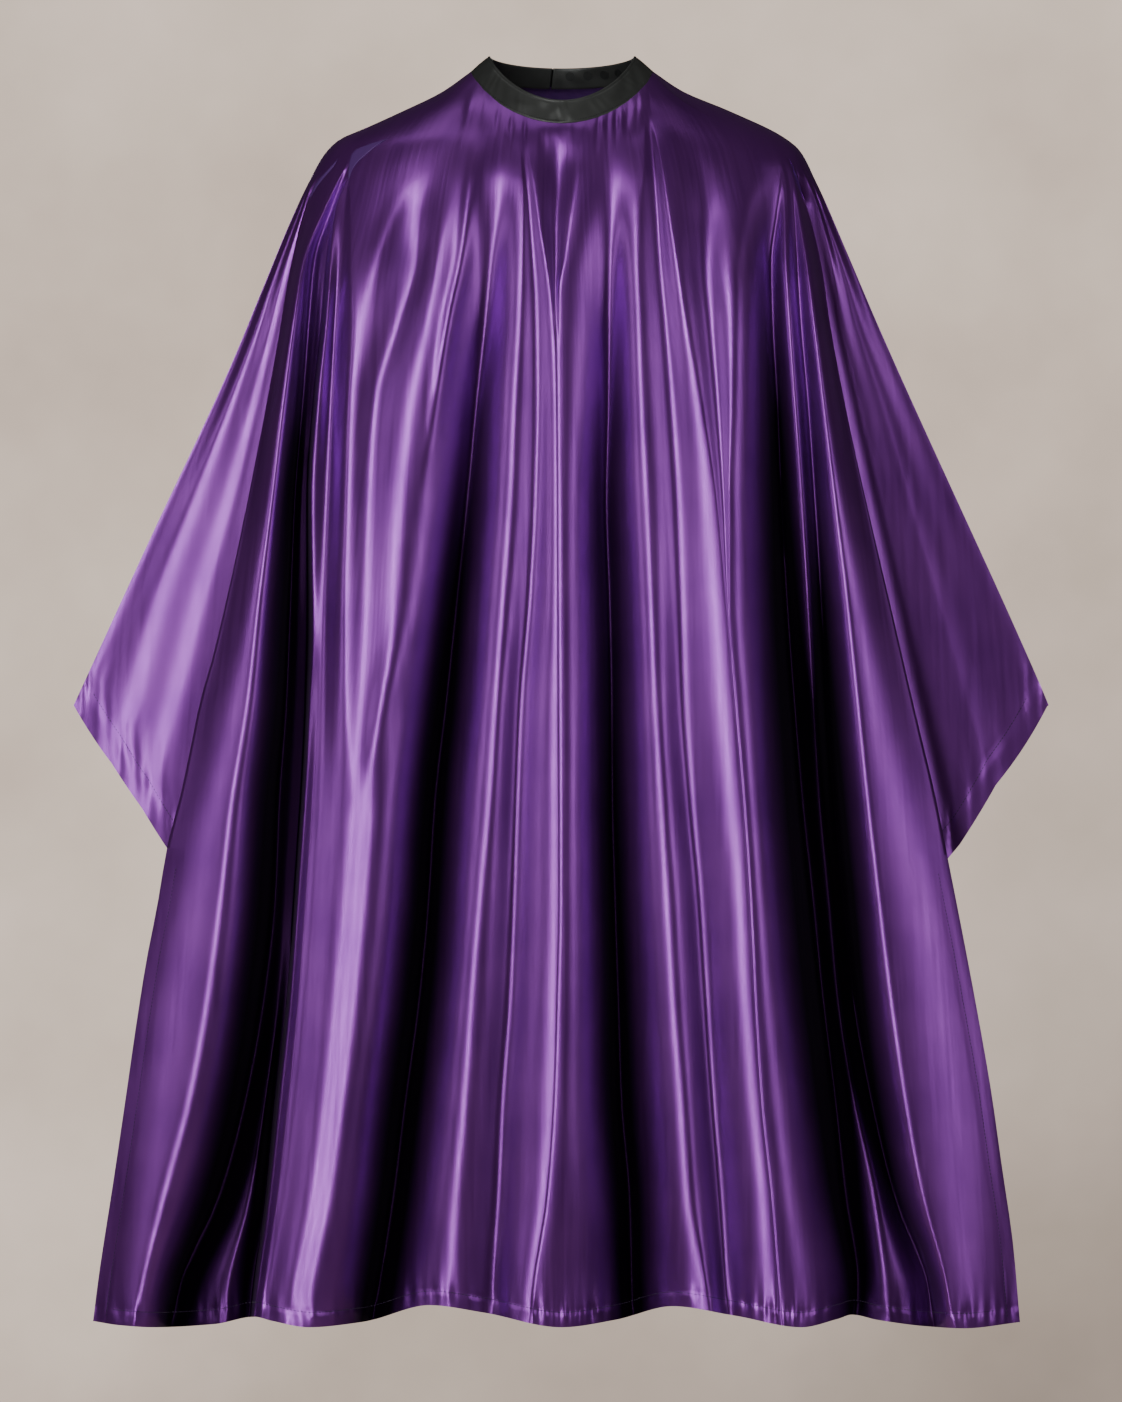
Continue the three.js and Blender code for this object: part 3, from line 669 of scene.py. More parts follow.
        (18, 115), (34.5, 151), (51.5, 187), (64, 213), (78, 223), (98, 233), (131, 245), (188, 257), (230, 264),
        (306, 281), (401, 303), (496, 325), (591, 346), (728, 378), (766, 388)),
        ((75, -12), (131, -9), (306, -8), (591, -3), (728, -1))),
    Line("right wing outer ridge", C, 88, 18, (
        (17, 115), (33, 151), (49.5, 187), (62, 214), (76, 225), (98, 237), (131, 249), (188, 268), (230, 279),
        (306, 304), (401, 332), (496, 360), (591, 388), (672, 412), (766, 440)),
        ((75, -4), (131, -4), (306, -3), (591, 2), (672, 3))),
    Line("right wing fold", V, 90, 0, (
        (13, 115), (31, 158), (56, 210), (68, 225), (98, 241), (164, 270), (230, 298), (553, 444), (583, 457),
        (595, 462), (662, 493), (731, 525), (766, 541)),
        ((64, 1), (300, 5), (596, 11), (765, 13))),
)

LEFT_EDGE = next(i for i, line in enumerate(LINES) if line.name == "left edge of the front")
RIGHT_EDGE = next(i for i, line in enumerate(LINES) if line.name == "right edge of the front")
LAST = len(LINES) - 1

# Where each line ends at the foot of the upper part: wing hems outside, and one level across the front.
UPPER_FOOT: tuple[float, ...] = (
    596, 651, 694, 756, 760, 731.5, *([735.0] * (RIGHT_EDGE - LEFT_EDGE - 1)), 738, 766, 761.5, 728, 672, 595
)

# The front hem's drop, across.
HEM_LINE: Pairs = (
    (-446, 1181), (-420, 1185), (-387, 1187), (-330, 1184), (-293, 1177), (-275, 1181), (-239, 1187), (-190, 1182),
    (-128, 1166), (-75, 1173), (0, 1187), (50, 1180), (106, 1167), (165, 1176), (227, 1187), (262, 1179), (275, 1175),
    (300, 1180), (345, 1186), (380, 1188), (435, 1182),
)

# The smooth front that the folds stand on: its girth's half and its depth, by drop.
GIRTH: Pairs = (
    (100, 242), (130, 260), (170, 284), (230, 310), (306, 334), (400, 360), (550, 390), (731, 430), (900, 462),
    (1182, 512),
)
DEPTH: Pairs = (
    (-5, 0), (0, 16), (10, 33), (22, 48), (36, 60), (52, 71), (72, 81), (100, 91), (150, 102), (250, 115),
    (400, 128), (731, 152), (1182, 174),
)

RIDGES: tuple[Ridge, ...] = (
    Ridge(((65, -83), (98, -87), (172, -95), (223, -106), (325, -122), (400, -135)),
          ((62, 0), (110, 3), (225, 4.5), (325, 2.5), (400, 0)), (6, 9)),
    Ridge(((10, -86), (40, -90), (70, -100)), ((8, 0), (26, 2), (70, 0)), (3.5, 5)),
    Ridge(((104, -152), (186, -180), (232, -188)), ((90, 0), (150, 3), (232, 0)), (9, 10)),
    Ridge(((534, -156), (643, -182), (709, -195)), ((500, 0), (600, 4), (709, 0)), (10, 12)),
)

# The small gathers that the neck seam pulls: (angle, length, height) of each.
GATHERS: tuple[tuple[float, float, float], ...] = (
    (-58, 12, 1.1), (-43, 14, 1.4), (-33, 14, 1.5), (-24, 13, 1.4), (-12, 20, 1.7), (-4, 36, 2.1), (3, 13, 1.3),
    (10, 18, 1.5), (24, 18, 1.3), (31, 13, 1.0), (37, 26, 1.6), (46, 13, 1.0), (55, 12, 0.8),
)


def board_edge(angle: np.ndarray) -> tuple[np.ndarray, np.ndarray, np.ndarray]:
    """The neck edge as drawn on the board: across, drop and depth."""
    point = neck_edge(angle)
    grow = EYE_DISTANCE / (EYE_DISTANCE + point[..., 1])
    return point[..., 0] * grow, EYE_DROP + (-point[..., 2] - EYE_DROP) * grow, point[..., 1]


class Front:
    """The front of the sheet with both wings' front layers, as one hanging surface.

    A place on it is (line number, share): the share runs 0 to 1 from the neck edge to the foot of the upper part, and
    1 to 2 down to the front hem. The lines are drawn on a board in the plane of the neck, and each point is then
    carried along the sight line to its own depth, so the cape keeps its outline when seen from in front.
    """

    round_deep = 3.5
    round_shallow = 11.0
    fade = 45.0
    # Painted shade for the tucks behind the front's edges: how deep in a fold each strip's cloth counts as lying,
    # which darkens its colour, at the outer and inner side of each strip from the front's edge out.
    tuck_shade = ((40.0, 20.0), (28.0, 40.0), (0.0, 28.0), (0.0, 0.0))

    def __init__(self) -> None:
        """Works out each line's start on the neck edge."""
        self.angles = np.radians([line.angle for line in LINES])
        across, drop, _ = board_edge(self.angles)
        self.routes: list[Pairs] = [
            ((drop[i], across[i]), *[p for p in line.route if p[0] > drop[i] + 4]) for i, line in enumerate(LINES)
        ]

    def across(self, index: int, drop: np.ndarray) -> np.ndarray:
        """How far across a line is at a drop."""
        return curve(self.routes[index], drop, goes_on=True)

    def smooth_front(self, across: np.ndarray, drop: np.ndarray) -> np.ndarray:
        """The smooth front under the folds: 0 at the shoulder and side, and negative forwards."""
        yoke = np.where(across < 0, -self.across(0, drop), self.across(LAST, drop))
        girth = mix(yoke, curve(GIRTH, drop), step(95, 210, drop))
        share = np.clip(np.abs(across) / girth, 0, 1)
        return -curve(DEPTH, drop) * np.sqrt(1 - share ** mix(2.5, 3.6, step(100, 250, drop)))

    def relief(self, index: int, share: np.ndarray, drop: np.ndarray, width: np.ndarray) -> np.ndarray:
        """How far the cloth lies behind the smooth front, between a line and the next.

        Args:
            index: the line on the left.
            share: 0 at it and 1 at the next.
            drop: the drops.
            width: the distance between the two lines.
        """
        left, right = LINES[index], LINES[index + 1]
        near, far = curve(left.sunk, drop), curve(right.sunk, drop)
        if left.turn is right.turn:
            return mix(near, far, step(0, 1, share))
        if left.turn is Turn.VALLEY:
            share, near, far = 1 - share, far, near
        soft = mix(self.round_shallow, self.round_deep, step(8, 40, far - near))
        gap = np.sqrt(((1 - share) * width) ** 2 + soft**2) - soft
        whole = np.sqrt(width**2 + soft**2) - soft + 1e-6
        return mix(near, far, np.clip(1 - gap / whole, 0, 1) ** 1.9)

    def extras(self, across: np.ndarray, drop: np.ndarray) -> np.ndarray:
        """The lift of the short ridges and a slight unevenness of the cloth."""
        lift = np.zeros_like(across)
        for ridge in RIDGES:
            offset = across - curve(ridge.route, drop)
            spread = np.where(offset < 0, *ridge.spread)
            inside = (drop > ridge.lift[0][0]) & (drop < ridge.lift[-1][0])
            lift += np.where(inside, curve(ridge.lift, drop), 0) * np.exp(-((offset / spread) ** 2))
        for angle, length, height in GATHERS:
            start, top, _ = board_edge(np.radians(np.array([angle])))
            down = drop - top[0]
            inside = (down > -8) & (down < length)
            bump = np.exp(-(((across - start[0] - down * math.radians(angle) * 0.25) / 2.6) ** 2))
            lift += np.where(inside, height * (1 - step(0.2 * length, length, down)), 0) * bump
        hang = step(90, 250, drop)
        slow = np.sin(across / 23 + drop / 160 + 1.5 * np.sin(drop / 210)) * np.sin(drop / 95 + across / 60)
        lift += hang * 0.6 * slow
        lift += hang * 0.06 * np.sin(across / 9.5 + 2 * np.sin(drop / 130)) * np.sin(drop / 70 + across / 31)
        return lift

    def board(self, line: np.ndarray, share: np.ndarray) -> tuple[np.ndarray, ...]:
        """Across, drop and depth of places on the cloth, as drawn on the board, and how deep in a fold they lie, for
        the painted shade.
        """
        index = np.clip(line.astype(int), 0, LAST - 1)
        part = line - index
        angle = np.interp(line, range(LAST + 1), self.angles)
        top_across, top_drop, top_depth = board_edge(angle)
        foot = np.interp(line, range(LAST + 1), UPPER_FOOT)
        drop = mix(top_drop, foot, np.clip(share, 0, 1))
        foot_across = self.drawn(index, part, np.full_like(drop, FRONT_FOOT))[0]
        drop = np.where(share > 1, mix(foot, curve(HEM_LINE, foot_across), share - 1), drop)
        start_across, start_depth, _ = self.drawn(index, part, top_drop)
        across, depth, shade = self.drawn(index, part, drop)
        hold = 1 - step(0, self.fade, drop - top_drop)
        return across + (top_across - start_across) * hold, drop, depth + (top_depth - start_depth) * hold, shade

    def drawn(self, index: np.ndarray, part: np.ndarray, drop: np.ndarray) -> tuple[np.ndarray, ...]:
        """Across, depth and depth in a fold at a drop, before the neck edge is joined; the depth in a fold sets the
        cloth's painted shade.
        """
        across, depth, shade = np.empty_like(drop), np.empty_like(drop), np.zeros_like(drop)
        for i in range(LAST):
            here = index == i
            if not here.any():
                continue
            t, d = part[here], drop[here]
            left, right = self.across(i, d), self.across(i + 1, d)
            x = mix(left, right, t)
            y = self.smooth_front(x, d)
            if LEFT_EDGE <= i < RIGHT_EDGE:
                sunk = self.relief(i, t, d, np.abs(right - left))
                # How far the cloth lies behind the smooth front also sets its painted shade.
                shade[here] = sunk
                y = y + sunk - self.extras(x, d)
            else:
                y = mix(y, self.wing_depth(i, t, d), step(70, 125, d))
                inwards = t if i < LEFT_EDGE else 1 - t
                # Painted shade for the tuck strips: a made-up depth in a fold that darkens their colour.
                near, far = self.tuck_shade[min(abs(i - LEFT_EDGE + 1), abs(i - RIGHT_EDGE), 3)]
                shade[here] = mix(near, far, inwards) * step(90, 130, d)
            across[here], depth[here] = x, y
        return across, depth, shade

    def wing_depth(self, index: int, share: np.ndarray, drop: np.ndarray) -> np.ndarray:
        """The depth of a wing's front layer and of the tuck behind the front's edge."""
        ends = []
        for i in (index, index + 1):
            if i in (LEFT_EDGE, RIGHT_EDGE):
                edge = self.across(i, drop)
                ends.append(self.smooth_front(edge, drop) + curve(LINES[i].sunk, drop))
            else:
                ends.append(curve(LINES[i].sunk, drop))
        if index == LEFT_EDGE - 1:
            share = 1 - np.sqrt(1 - share**2)
        elif index == RIGHT_EDGE:
            share = np.sqrt(1 - (1 - share) ** 2)
        else:
            share = step(0, 1, share)
        return mix(*ends, share)

    def hang(self, line: np.ndarray, share: np.ndarray) -> tuple[np.ndarray, np.ndarray]:
        """Points of the cloth in the frame, in mm, and how deep in a fold each lies, for the painted shade."""
        across, drop, depth, shade = self.board(line, share)
        self.hem(line, share, across, drop, depth)
        near = (EYE_DISTANCE + depth) / EYE_DISTANCE
        return np.stack([across * near, depth, -(EYE_DROP + (drop - EYE_DROP) * near)], -1), shade

    def hem(
        self, line: np.ndarray, share: np.ndarray, across: np.ndarray, drop: np.ndarray, depth: np.ndarray
    ) -> None:
        """Works the turned-up hem, its line of stitches and the puckers into the surface, in place."""
        foot = np.interp(line, range(LAST + 1), UPPER_FOOT)
        wing = (line < LEFT_EDGE - 1) | (line > RIGHT_EDGE + 1)
        front = share > 1
        edge = np.where(front, curve(HEM_LINE, across) - drop, (foot - drop) * WING_SLANT)
        edge = np.where(front | wing, np.maximum(edge, 0), 1e3)
        depth -= hem_height(edge, across * np.where(wing, 1.6, 1.0), np.where(wing, 0.8, 1.0))
        side = np.minimum(across - self.across(LEFT_EDGE, drop), self.across(RIGHT_EDGE, drop) - across)
        free = front * step(735, 765, drop)
        depth += free * 0.5 * np.exp(-(((side - SIDE_STITCH) / 1.6) ** 2))


def hem_height(edge: np.ndarray, along: np.ndarray, size: np.ndarray) -> np.ndarray:
    """How far a hem stands out: the turned-up layer, the stitched groove and the gathers that it pulls.

    Args:
        edge: distance up from the hem's edge.
        along: distance along it.
        size: a share of the full height.
    """
    layer = 0.7 * (1 - step(11, 16, edge))
    groove = -0.3 * np.exp(-(((edge - HEM_STITCH) / 1.8) ** 2))
    wave = (
        np.sin(along / 1.75 + 1.3 * np.sin(along / 17)) * (0.55 + 0.45 * np.sin(along / 29 + 1))
        + 0.7 * np.sin(along / 3.1 + 2 * np.sin(along / 41) + 0.05 * edge)
        + 0.4 * np.sin(along / 6.3 + 0.08 * edge)
    )
    pull = 0.85 * np.exp(-np.abs(edge - 12) / 11) * (edge < 70)
    return size * (layer + groove + pull * wave)


# ---- Cutting and hanging cloth ----


@dataclass(frozen=True)
class Cloth:
    """A panel of cloth: cut flat as a grid, and hung by moving each of its points onto a surface."""

    columns: np.ndarray
    rows: np.ndarray

    def cut(self, bm: bmesh.types.BMesh, columns: np.ndarray, rows: np.ndarray) -> None:
        """Adds a flat grid whose x and y are places on the surface."""
        bmesh.ops.create_grid(bm, x_segments=len(columns) - 1, y_segments=len(rows) - 1, size=0.5)
        for v in [v for v in bm.verts if not v.tag]:
            x = round((v.co.x + 0.5) * (len(columns) - 1))
            y = round((v.co.y + 0.5) * (len(rows) - 1))
            v.co = (columns[x], rows[y], 0)
            v.tag = True

    def make(
        self, hang: Hang, outward: Vector, hem_rows: np.ndarray | None = None, finer: int = 3
    ) -> bmesh.types.BMesh:
        """Cuts the panel, joins a finer strip for its hem, and hangs it.

        Args:
            hang: the surface, for arrays of columns and rows.
            outward: the side that the face looks to.
            hem_rows: rows of a strip with finer columns, starting at the panel's last row.
            finer: how many of its columns there are for each of the panel's.

        Returns:
            The hung mesh.
        """
        bm = bmesh.new()
        self.cut(bm, self.columns, self.rows)
        if hem_rows is not None:
            foot = self.rows[-1]
            bottom = [e for e in bm.edges if all(abs(v.co.y - foot) < 1e-5 for v in e.verts)]
            bmesh.ops.subdivide_edges(bm, edges=bottom, cuts=finer - 1)
            for v in bm.verts:
                v.tag = True
            steps = np.arange((len(self.columns) - 1) * finer + 1) / finer
            fine = np.interp(steps, np.arange(len(self.columns)), self.columns)
            self.cut(bm, fine, hem_rows)
            bmesh.ops.remove_doubles(bm, verts=bm.verts, dist=1e-4)
        flat = np.array([v.co for v in bm.verts])
        points, shades = hang(flat[:, 0].copy(), flat[:, 1].copy())
        # Each point's depth in a fold, which the satin reads for its painted shade.
        fold = bm.verts.layers.float.new("fold")
        for v, point, shade in zip(bm.verts, points * MM, shades):
            v[fold] = shade
            v.co = point
        bm.normal_update()
        total = sum((f.normal for f in bm.faces), Vector())
        if total.dot(outward) < 0:
            bmesh.ops.reverse_faces(bm, faces=bm.faces)
        return bm

    def lay_flat(self, bm: bmesh.types.BMesh) -> None:
        """Gives the mesh its UV map: real distances across and down the cloth, in metres."""
        uv = bm.loops.layers.uv.new("flat")
        for face in bm.faces:
            for loop in face.loops:
                x, y, z = loop.vert.co
                loop[uv].uv = (self.girth(x, y), z)

    @staticmethod
    def girth(x: float, y: float) -> float:
        """The distance round the cape's oval plan, from its middle."""
        return math.atan2(x, -y + 0.05) * 0.3 + x * 0.6


def spread(lines: Sequence[Line], first: int, last: int) -> np.ndarray:
    """The column places from one line to another, with each line's own cells, closest together at the wings' folds."""
    places = []
    for i in range(first, last):
        t = np.linspace(0, 1, lines[i].cells, endpoint=False)
        places.append(i + (t * t if i == 0 else 1 - (1 - t) ** 2 if i == LAST - 1 else t))
    return np.concatenate([*places, [float(last)]])


@dataclass(frozen=True)
class Back:
    """Half of the back, from a wing's fold to the slit: it falls from the shoulder in a few soft folds."""

    side: int
    front: Front

    slit_gap: float = 18.0
    overlap: float = 3.5
    inset: float = 1.3
    hem_length: float = 420.0
    depth: Pairs = (
        (-6, 50), (0, 67), (10, 80), (30, 92), (60, 101), (100, 108), (150, 114), (310, 129), (640, 134), (820, 134)
    )
    foot: Pairs = (
        (0, 596), (0.05, 609), (0.12, 628), (0.22, 648), (0.3, 652), (0.43, 632), (0.65, 515), (0.85, 395), (1, 310)
    )

    def hang(self, across: np.ndarray, share: np.ndarray) -> tuple[np.ndarray, np.ndarray]:
        """Points of the cloth, which has no deep folds.

        Args:
            across: 0 at the wing's fold and 1 at the slit.
            share: 0 at the neck and 1 at the hem.

        Returns:
            The points in mm, and zeros for their depth in a fold, so the back gets no painted shade.
        """
        last = closure_angle(RIGHT_ARM_END - self.overlap if self.side > 0 else LEFT_ARM_END) + math.pi * 2
        stop = last if self.side > 0 else math.pi * 2 - last
        angle = math.pi / 2 + across * (stop - math.pi / 2)
        top = neck_edge(angle)
        drop = mix(-top[:, 2], curve(self.foot, across**1.6), share)
        start = self.place(across, -top[:, 2])
        point = self.place(across, drop)
        hold = (1 - step(0, 60, drop + top[:, 2]))[:, None]
        point[:, :2] += (top[:, :2] - start[:, :2]) * hold
        if self.side > 0:
            point[:, 1] -= self.inset * step(0.965, 0.985, across)
        edge = np.maximum(curve(self.foot, across**1.6) - drop, 0) * BACK_SLANT
        point[:, 1] += hem_height(edge, across * self.hem_length, np.full_like(edge, 0.8))
        point[:, 0] *= self.side
        return point, np.zeros(len(point))

    def place(self, across: np.ndarray, drop: np.ndarray) -> np.ndarray:
        """Points at given drops, before the neck edge is joined, with x positive."""
        line = 0 if self.side < 0 else LAST
        fold = np.abs(self.front.across(line, drop))
        fold_depth = curve(LINES[line].sunk, drop) * step(70, 125, drop)
        meet = RIGHT_ARM_END - self.overlap if self.side > 0 else -LEFT_ARM_END
        slit = mix(np.full_like(drop, meet), np.full_like(drop, self.slit_gap), step(0, 240, drop))
        x = mix(fold, slit, across**1.6)
        share = np.clip(x / fold, 0, 1)
        y = curve(self.depth, drop) * np.sqrt(1 - share**2.5) + fold_depth * share**6
        near = (EYE_DISTANCE + y) / EYE_DISTANCE
        swell = step(60, 320, drop) * np.sin(np.pi * np.clip(across, 0, 1)) ** 0.7
        y = y + swell * (9 * np.sin(across * 16 + 0.6) + 5 * np.sin(across * 31 + drop / 160))
        z = EYE_DROP + (drop - EYE_DROP) * mix(near, np.ones_like(near), step(0, 0.2, across))
        x = x * mix(near, np.ones_like(near), step(0, 0.2, across))
        return np.stack([x, y, -z], -1)


@dataclass
class Sheet:
    """The satin sheet: front with wings, skirt, and the two back halves."""

    finishes: Finishes
    front: Front
    thickness: float = 0.5

    def build(self) -> None:
        """Builds the sheet's pieces and dresses them."""
        front = self.front
        columns = spread(LINES, 0, LAST)
        rows = np.interp(np.arange(73), (0, 32, 46, 60, 63, 72), (0, 0.22, 0.4, 0.86, 0.93, 1))
        upper = self.panel("sheet_front", Cloth(columns, rows), front.hang, Vector((0, -1, 0)))
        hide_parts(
            "cape_front_left", "cape_front_right", "cape_front_centre", "cape_wing_left", "cape_wing_right"
        )
        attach(upper, "cape")

        columns = spread(LINES, LEFT_EDGE, RIGHT_EDGE)
        rows = 1 + np.interp(np.arange(17), (0, 16), (0, 0.88))
        hem_rows = 1 + np.interp(np.arange(17), (0, 4, 16), (0.88, 0.94, 1))
        lower = self.panel("sheet_skirt", Cloth(columns, rows), front.hang, Vector((0, -1, 0)), hem_rows)
        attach(lower, "cape")

        pieces = [upper, lower]
        for side, word in ((-1, "left"), (1, "right")):
            half = Back(side, front)
            across = np.concatenate([np.linspace(0, 0.12, 14, endpoint=False), np.linspace(0.12, 1, 110)])
            rows = np.interp(np.arange(61), (0, 18, 46, 60), (0, 0.14, 0.88, 1))
            piece = self.panel(f"sheet_back_{word}", Cloth(across, rows), half.hang, Vector((0, 1, 0)))
            bend(piece)
            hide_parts(f"cape_back_{word}")
            pieces.append(piece)
        for piece in pieces:
            report(piece)

    def panel(
        self, name: str, cloth: Cloth, hang: Hang, outward: Vector, hem_rows: np.ndarray | None = None
    ) -> bpy.types.Object:
        """Makes one panel of the sheet with its wall."""
        bm = cloth.make(hang, outward, hem_rows)
        cloth.lay_flat(bm)
        piece = finished(name, bm, self.finishes.satin, self.finishes.satin_back)
        thicken(piece, self.thickness, inner=1)
        return piece


# ---- Stitches ----


def stitches(
    name: str, path: np.ndarray, normals: np.ndarray, pitch: float, length: float, width: float,
    material: bpy.types.Material,
) -> bpy.types.Object:
    """A run of lockstitches: each a short thread that dips into the cloth at both ends.

    Args:
        name: the piece's name.
        path: points of the line, in mm.
        normals: the cloth's outward direction at each.
        pitch: distance from one stitch to the next.
        length: a stitch's own length.
        width: the thread's thickness.
        material: the thread's finish.
    """
    run = np.concatenate([[0], np.cumsum(np.linalg.norm(np.diff(path, axis=0), axis=1))])
    middles = np.arange(pitch / 2, run[-1], pitch)
    bm = bmesh.new()
    lengthwise = Matrix.Rotation(math.pi / 2, 4, "Y")
    for middle in middles:
        both = (middle - length / 2, middle + length / 2)
        ends = [np.array([np.interp(s, run, path[:, k]) for k in range(3)]) for s in both]
        up = Vector([np.interp(middle, run, normals[:, k]) for k in range(3)]).normalized()
        ahead = Vector(ends[1] - ends[0]).normalized()
        sideways = up.cross(ahead).normalized()
        centre = Vector((ends[0] + ends[1]) / 2) + up * (width * 0.2)
        turn = Matrix((ahead * length / 2, sideways * width / 2, up * width / 2)).transposed().to_4x4()
        place = Matrix.Scale(MM, 4) @ Matrix.Translation(centre) @ turn
        bmesh.ops.create_uvsphere(bm, u_segments=6, v_segments=4, radius=1.0, matrix=place @ lengthwise)
    bmesh.ops.recalc_face_normals(bm, faces=bm.faces)
    return finished(name, bm, material)


@dataclass
class Stitching:
    """All the lines of stitches in the sheet."""

    front: Front
    material: bpy.types.Material
    pitch: float = 3.4
    length: float = 2.7
    width: float = 0.75

    def surface_path(
        self, hang: Hang, u: np.ndarray, v: np.ndarray, outward: float
    ) -> tuple[np.ndarray, np.ndarray]:
        """Points of a line on the cloth and the cloth's outward direction there."""

        def at(a: np.ndarray, b: np.ndarray) -> np.ndarray:
            """Points alone."""
            return hang(a.copy(), b.copy())[0]

        nudge = 1e-3
        point = at(u, v)
        along = at(u + nudge, v) - at(u - nudge, v)
        down = at(u, v + nudge) - at(u, v - nudge)
        normal = np.cross(along, down)
        normal /= np.linalg.norm(normal, axis=1, keepdims=True) + 1e-12
        flip = np.sign(normal[:, 1]) * outward
        flip[flip == 0] = 1
        return point, normal * flip[:, None]

    def sew(
        self, name: str, node: str, hang: Hang, u: np.ndarray, v: np.ndarray, outward: float
    ) -> bpy.types.Object:
        """Sews one line and lets it stand for its node."""
        path, normals = self.surface_path(hang, u, v, outward)
        piece = stitches(name, path, normals, self.pitch, self.length, self.width, self.material)
        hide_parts(node)
        return report(piece)

    def build(self) -> None:
        """Sews every line."""
        front = self.front
        columns = spread(LINES, LEFT_EDGE, RIGHT_EDGE)
        fine = np.interp(np.linspace(0.02, 0.98, 1600), np.linspace(0, 1, len(columns)), columns)
        level = np.full_like(fine, 2 - HEM_STITCH / SKIRT_LENGTH)
        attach(self.sew("stitches_front_hem", "front_hem_thread", front.hang, fine, level, -1), "cape")
        for side, word, edge, fold in ((-1, "left", LEFT_EDGE, 0), (1, "right", RIGHT_EDGE, LAST)):
            share = np.linspace(1.04, 1.985, 160)
            inside = np.full_like(share, edge - side * 0.3)
            for _ in range(12):
                across, drop, *_ = front.board(inside, share)
                gap = np.abs(across - front.across(edge, drop))
                closer = inside - side * (SIDE_STITCH - gap) / 60
                inside = np.clip(closer, min(edge, edge - side), max(edge, edge - side))
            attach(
                self.sew(f"stitches_side_hem_{word}", f"side_hem_thread_{word}", front.hang, inside, share, -1), "cape"
            )
            line = np.linspace(fold - side * 0.25, fold - side * 2.6, 90)
            foot = np.interp(line, range(LAST + 1), UPPER_FOOT)
            top = board_edge(np.interp(line, range(LAST + 1), front.angles))[1]
            share = 1 - (HEM_STITCH / WING_SLANT) / (foot - top)
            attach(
                self.sew(f"stitches_wing_hem_{word}", f"wing_hem_thread_{word}", front.hang, line, share, -1), "cape"
            )
            half = Back(side, front)
            across = np.linspace(0.06, 0.97, 200)
            share = 1 - (HEM_STITCH / BACK_SLANT) / curve(half.foot, across**1.6)
            bend(self.sew(f"stitches_back_hem_{word}", f"back_hem_thread_{word}", half.hang, across, share, 1))
            share = np.linspace(0.08, 0.96, 100)
            across = np.full_like(share, 0.955)
            bend(self.sew(f"stitches_slit_{word}", f"slit_thread_{word}", half.hang, across, share, 1))


# ---- The neckband ----


@dataclass
class Band:
    """One length of the black satin neckband: a strip folded over, with a rolled top edge.

    Attributes:
        name: the piece's name.
        angles: where it starts and ends round the neck.
        replaces: the nodes that it stands for.
        outer: how far in from the band's own face it lies, negative outwards.
        steps: how many sections it is swept through.
        height: a share of the band's height.
    """

    name: str
    angles: tuple[float, float]
    replaces: tuple[str, ...]
    outer: float = 0.0
    steps: int = 150
    height: float = 1.0

    def section(self) -> list[tuple[float, float]]:
        """(rise, depth) pairs round the band's section, from the outer foot over the top to the inner foot."""
        t = BAND_THICKNESS
        outer = [(r, -0.35 * math.sin(math.pi * r)) for r in np.linspace(0, 0.86, 14)]
        roll = [(0.885, 0.25), (0.9, 0.1), (0.93, -0.2), (0.97, 0.05), (0.995, 0.5), (1.005, t / 2), (0.995, t - 0.5),
                (0.97, t - 0.1)]
        inner = [(r, t) for r in np.linspace(0.9, 0, 10)]
        foot = [(-0.012, t * 0.7), (-0.012, t * 0.3)]
        return outer + roll + inner + foot

    def build(self, material: bpy.types.Material) -> bpy.types.Object:
        """Sweeps the section round the neck and closes both ends."""
        section = np.array(self.section())
        angle = np.linspace(*self.angles, self.steps)
        a = np.repeat(angle, len(section))
        rise = np.tile(section[:, 0] * self.height, self.steps)
        depth = np.tile(section[:, 1], self.steps) + self.outer
        inside = np.tile(section[:, 1] > BAND_THICKNESS * 0.5, self.steps)
        wave = 0.7 * np.sin(a * 8 + 2.5 * rise + 1.6 * np.sin(a * 3))
        wave += 0.4 * np.sin(a * 17 - 5 * rise + 1.5 * np.sin(a * 6))
        wave += 0.12 * np.sin(a * 47 + 7 * rise + 2 * np.sin(a * 13))
        body = np.sin(np.pi * np.clip(rise, 0, 1)) ** 0.6
        ends = np.clip(np.minimum(a - angle.min(), angle.max() - a) / 0.06, 0, 1)
        depth = depth - np.where(inside, -0.6, 1.0) * wave * body * 0.8 * ends
        points = band_point(a, rise, depth) * MM
        bm = bmesh.new()
        bmesh.ops.create_grid(bm, x_segments=self.steps - 1, y_segments=len(section), size=0.5)
        for v in bm.verts:
            x = round((v.co.x + 0.5) * (self.steps - 1))
            y = round((v.co.y + 0.5) * len(section)) % len(section)
            v.co = points[x * len(section) + y]
        uv = bm.loops.layers.uv.new("flat")
        for face in bm.faces:
            for loop in face.loops:
                x, y, z = loop.vert.co
                loop[uv].uv = (math.atan2(x, -y) * 0.08, z)
        bmesh.ops.remove_doubles(bm, verts=bm.verts, dist=1e-6)
        bmesh.ops.holes_fill(bm, edges=[e for e in bm.edges if e.is_boundary], sides=0)
        bmesh.ops.recalc_face_normals(bm, faces=bm.faces)
        piece = finished(self.name, bm, material)
        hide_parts(*self.replaces)
        return report(piece)


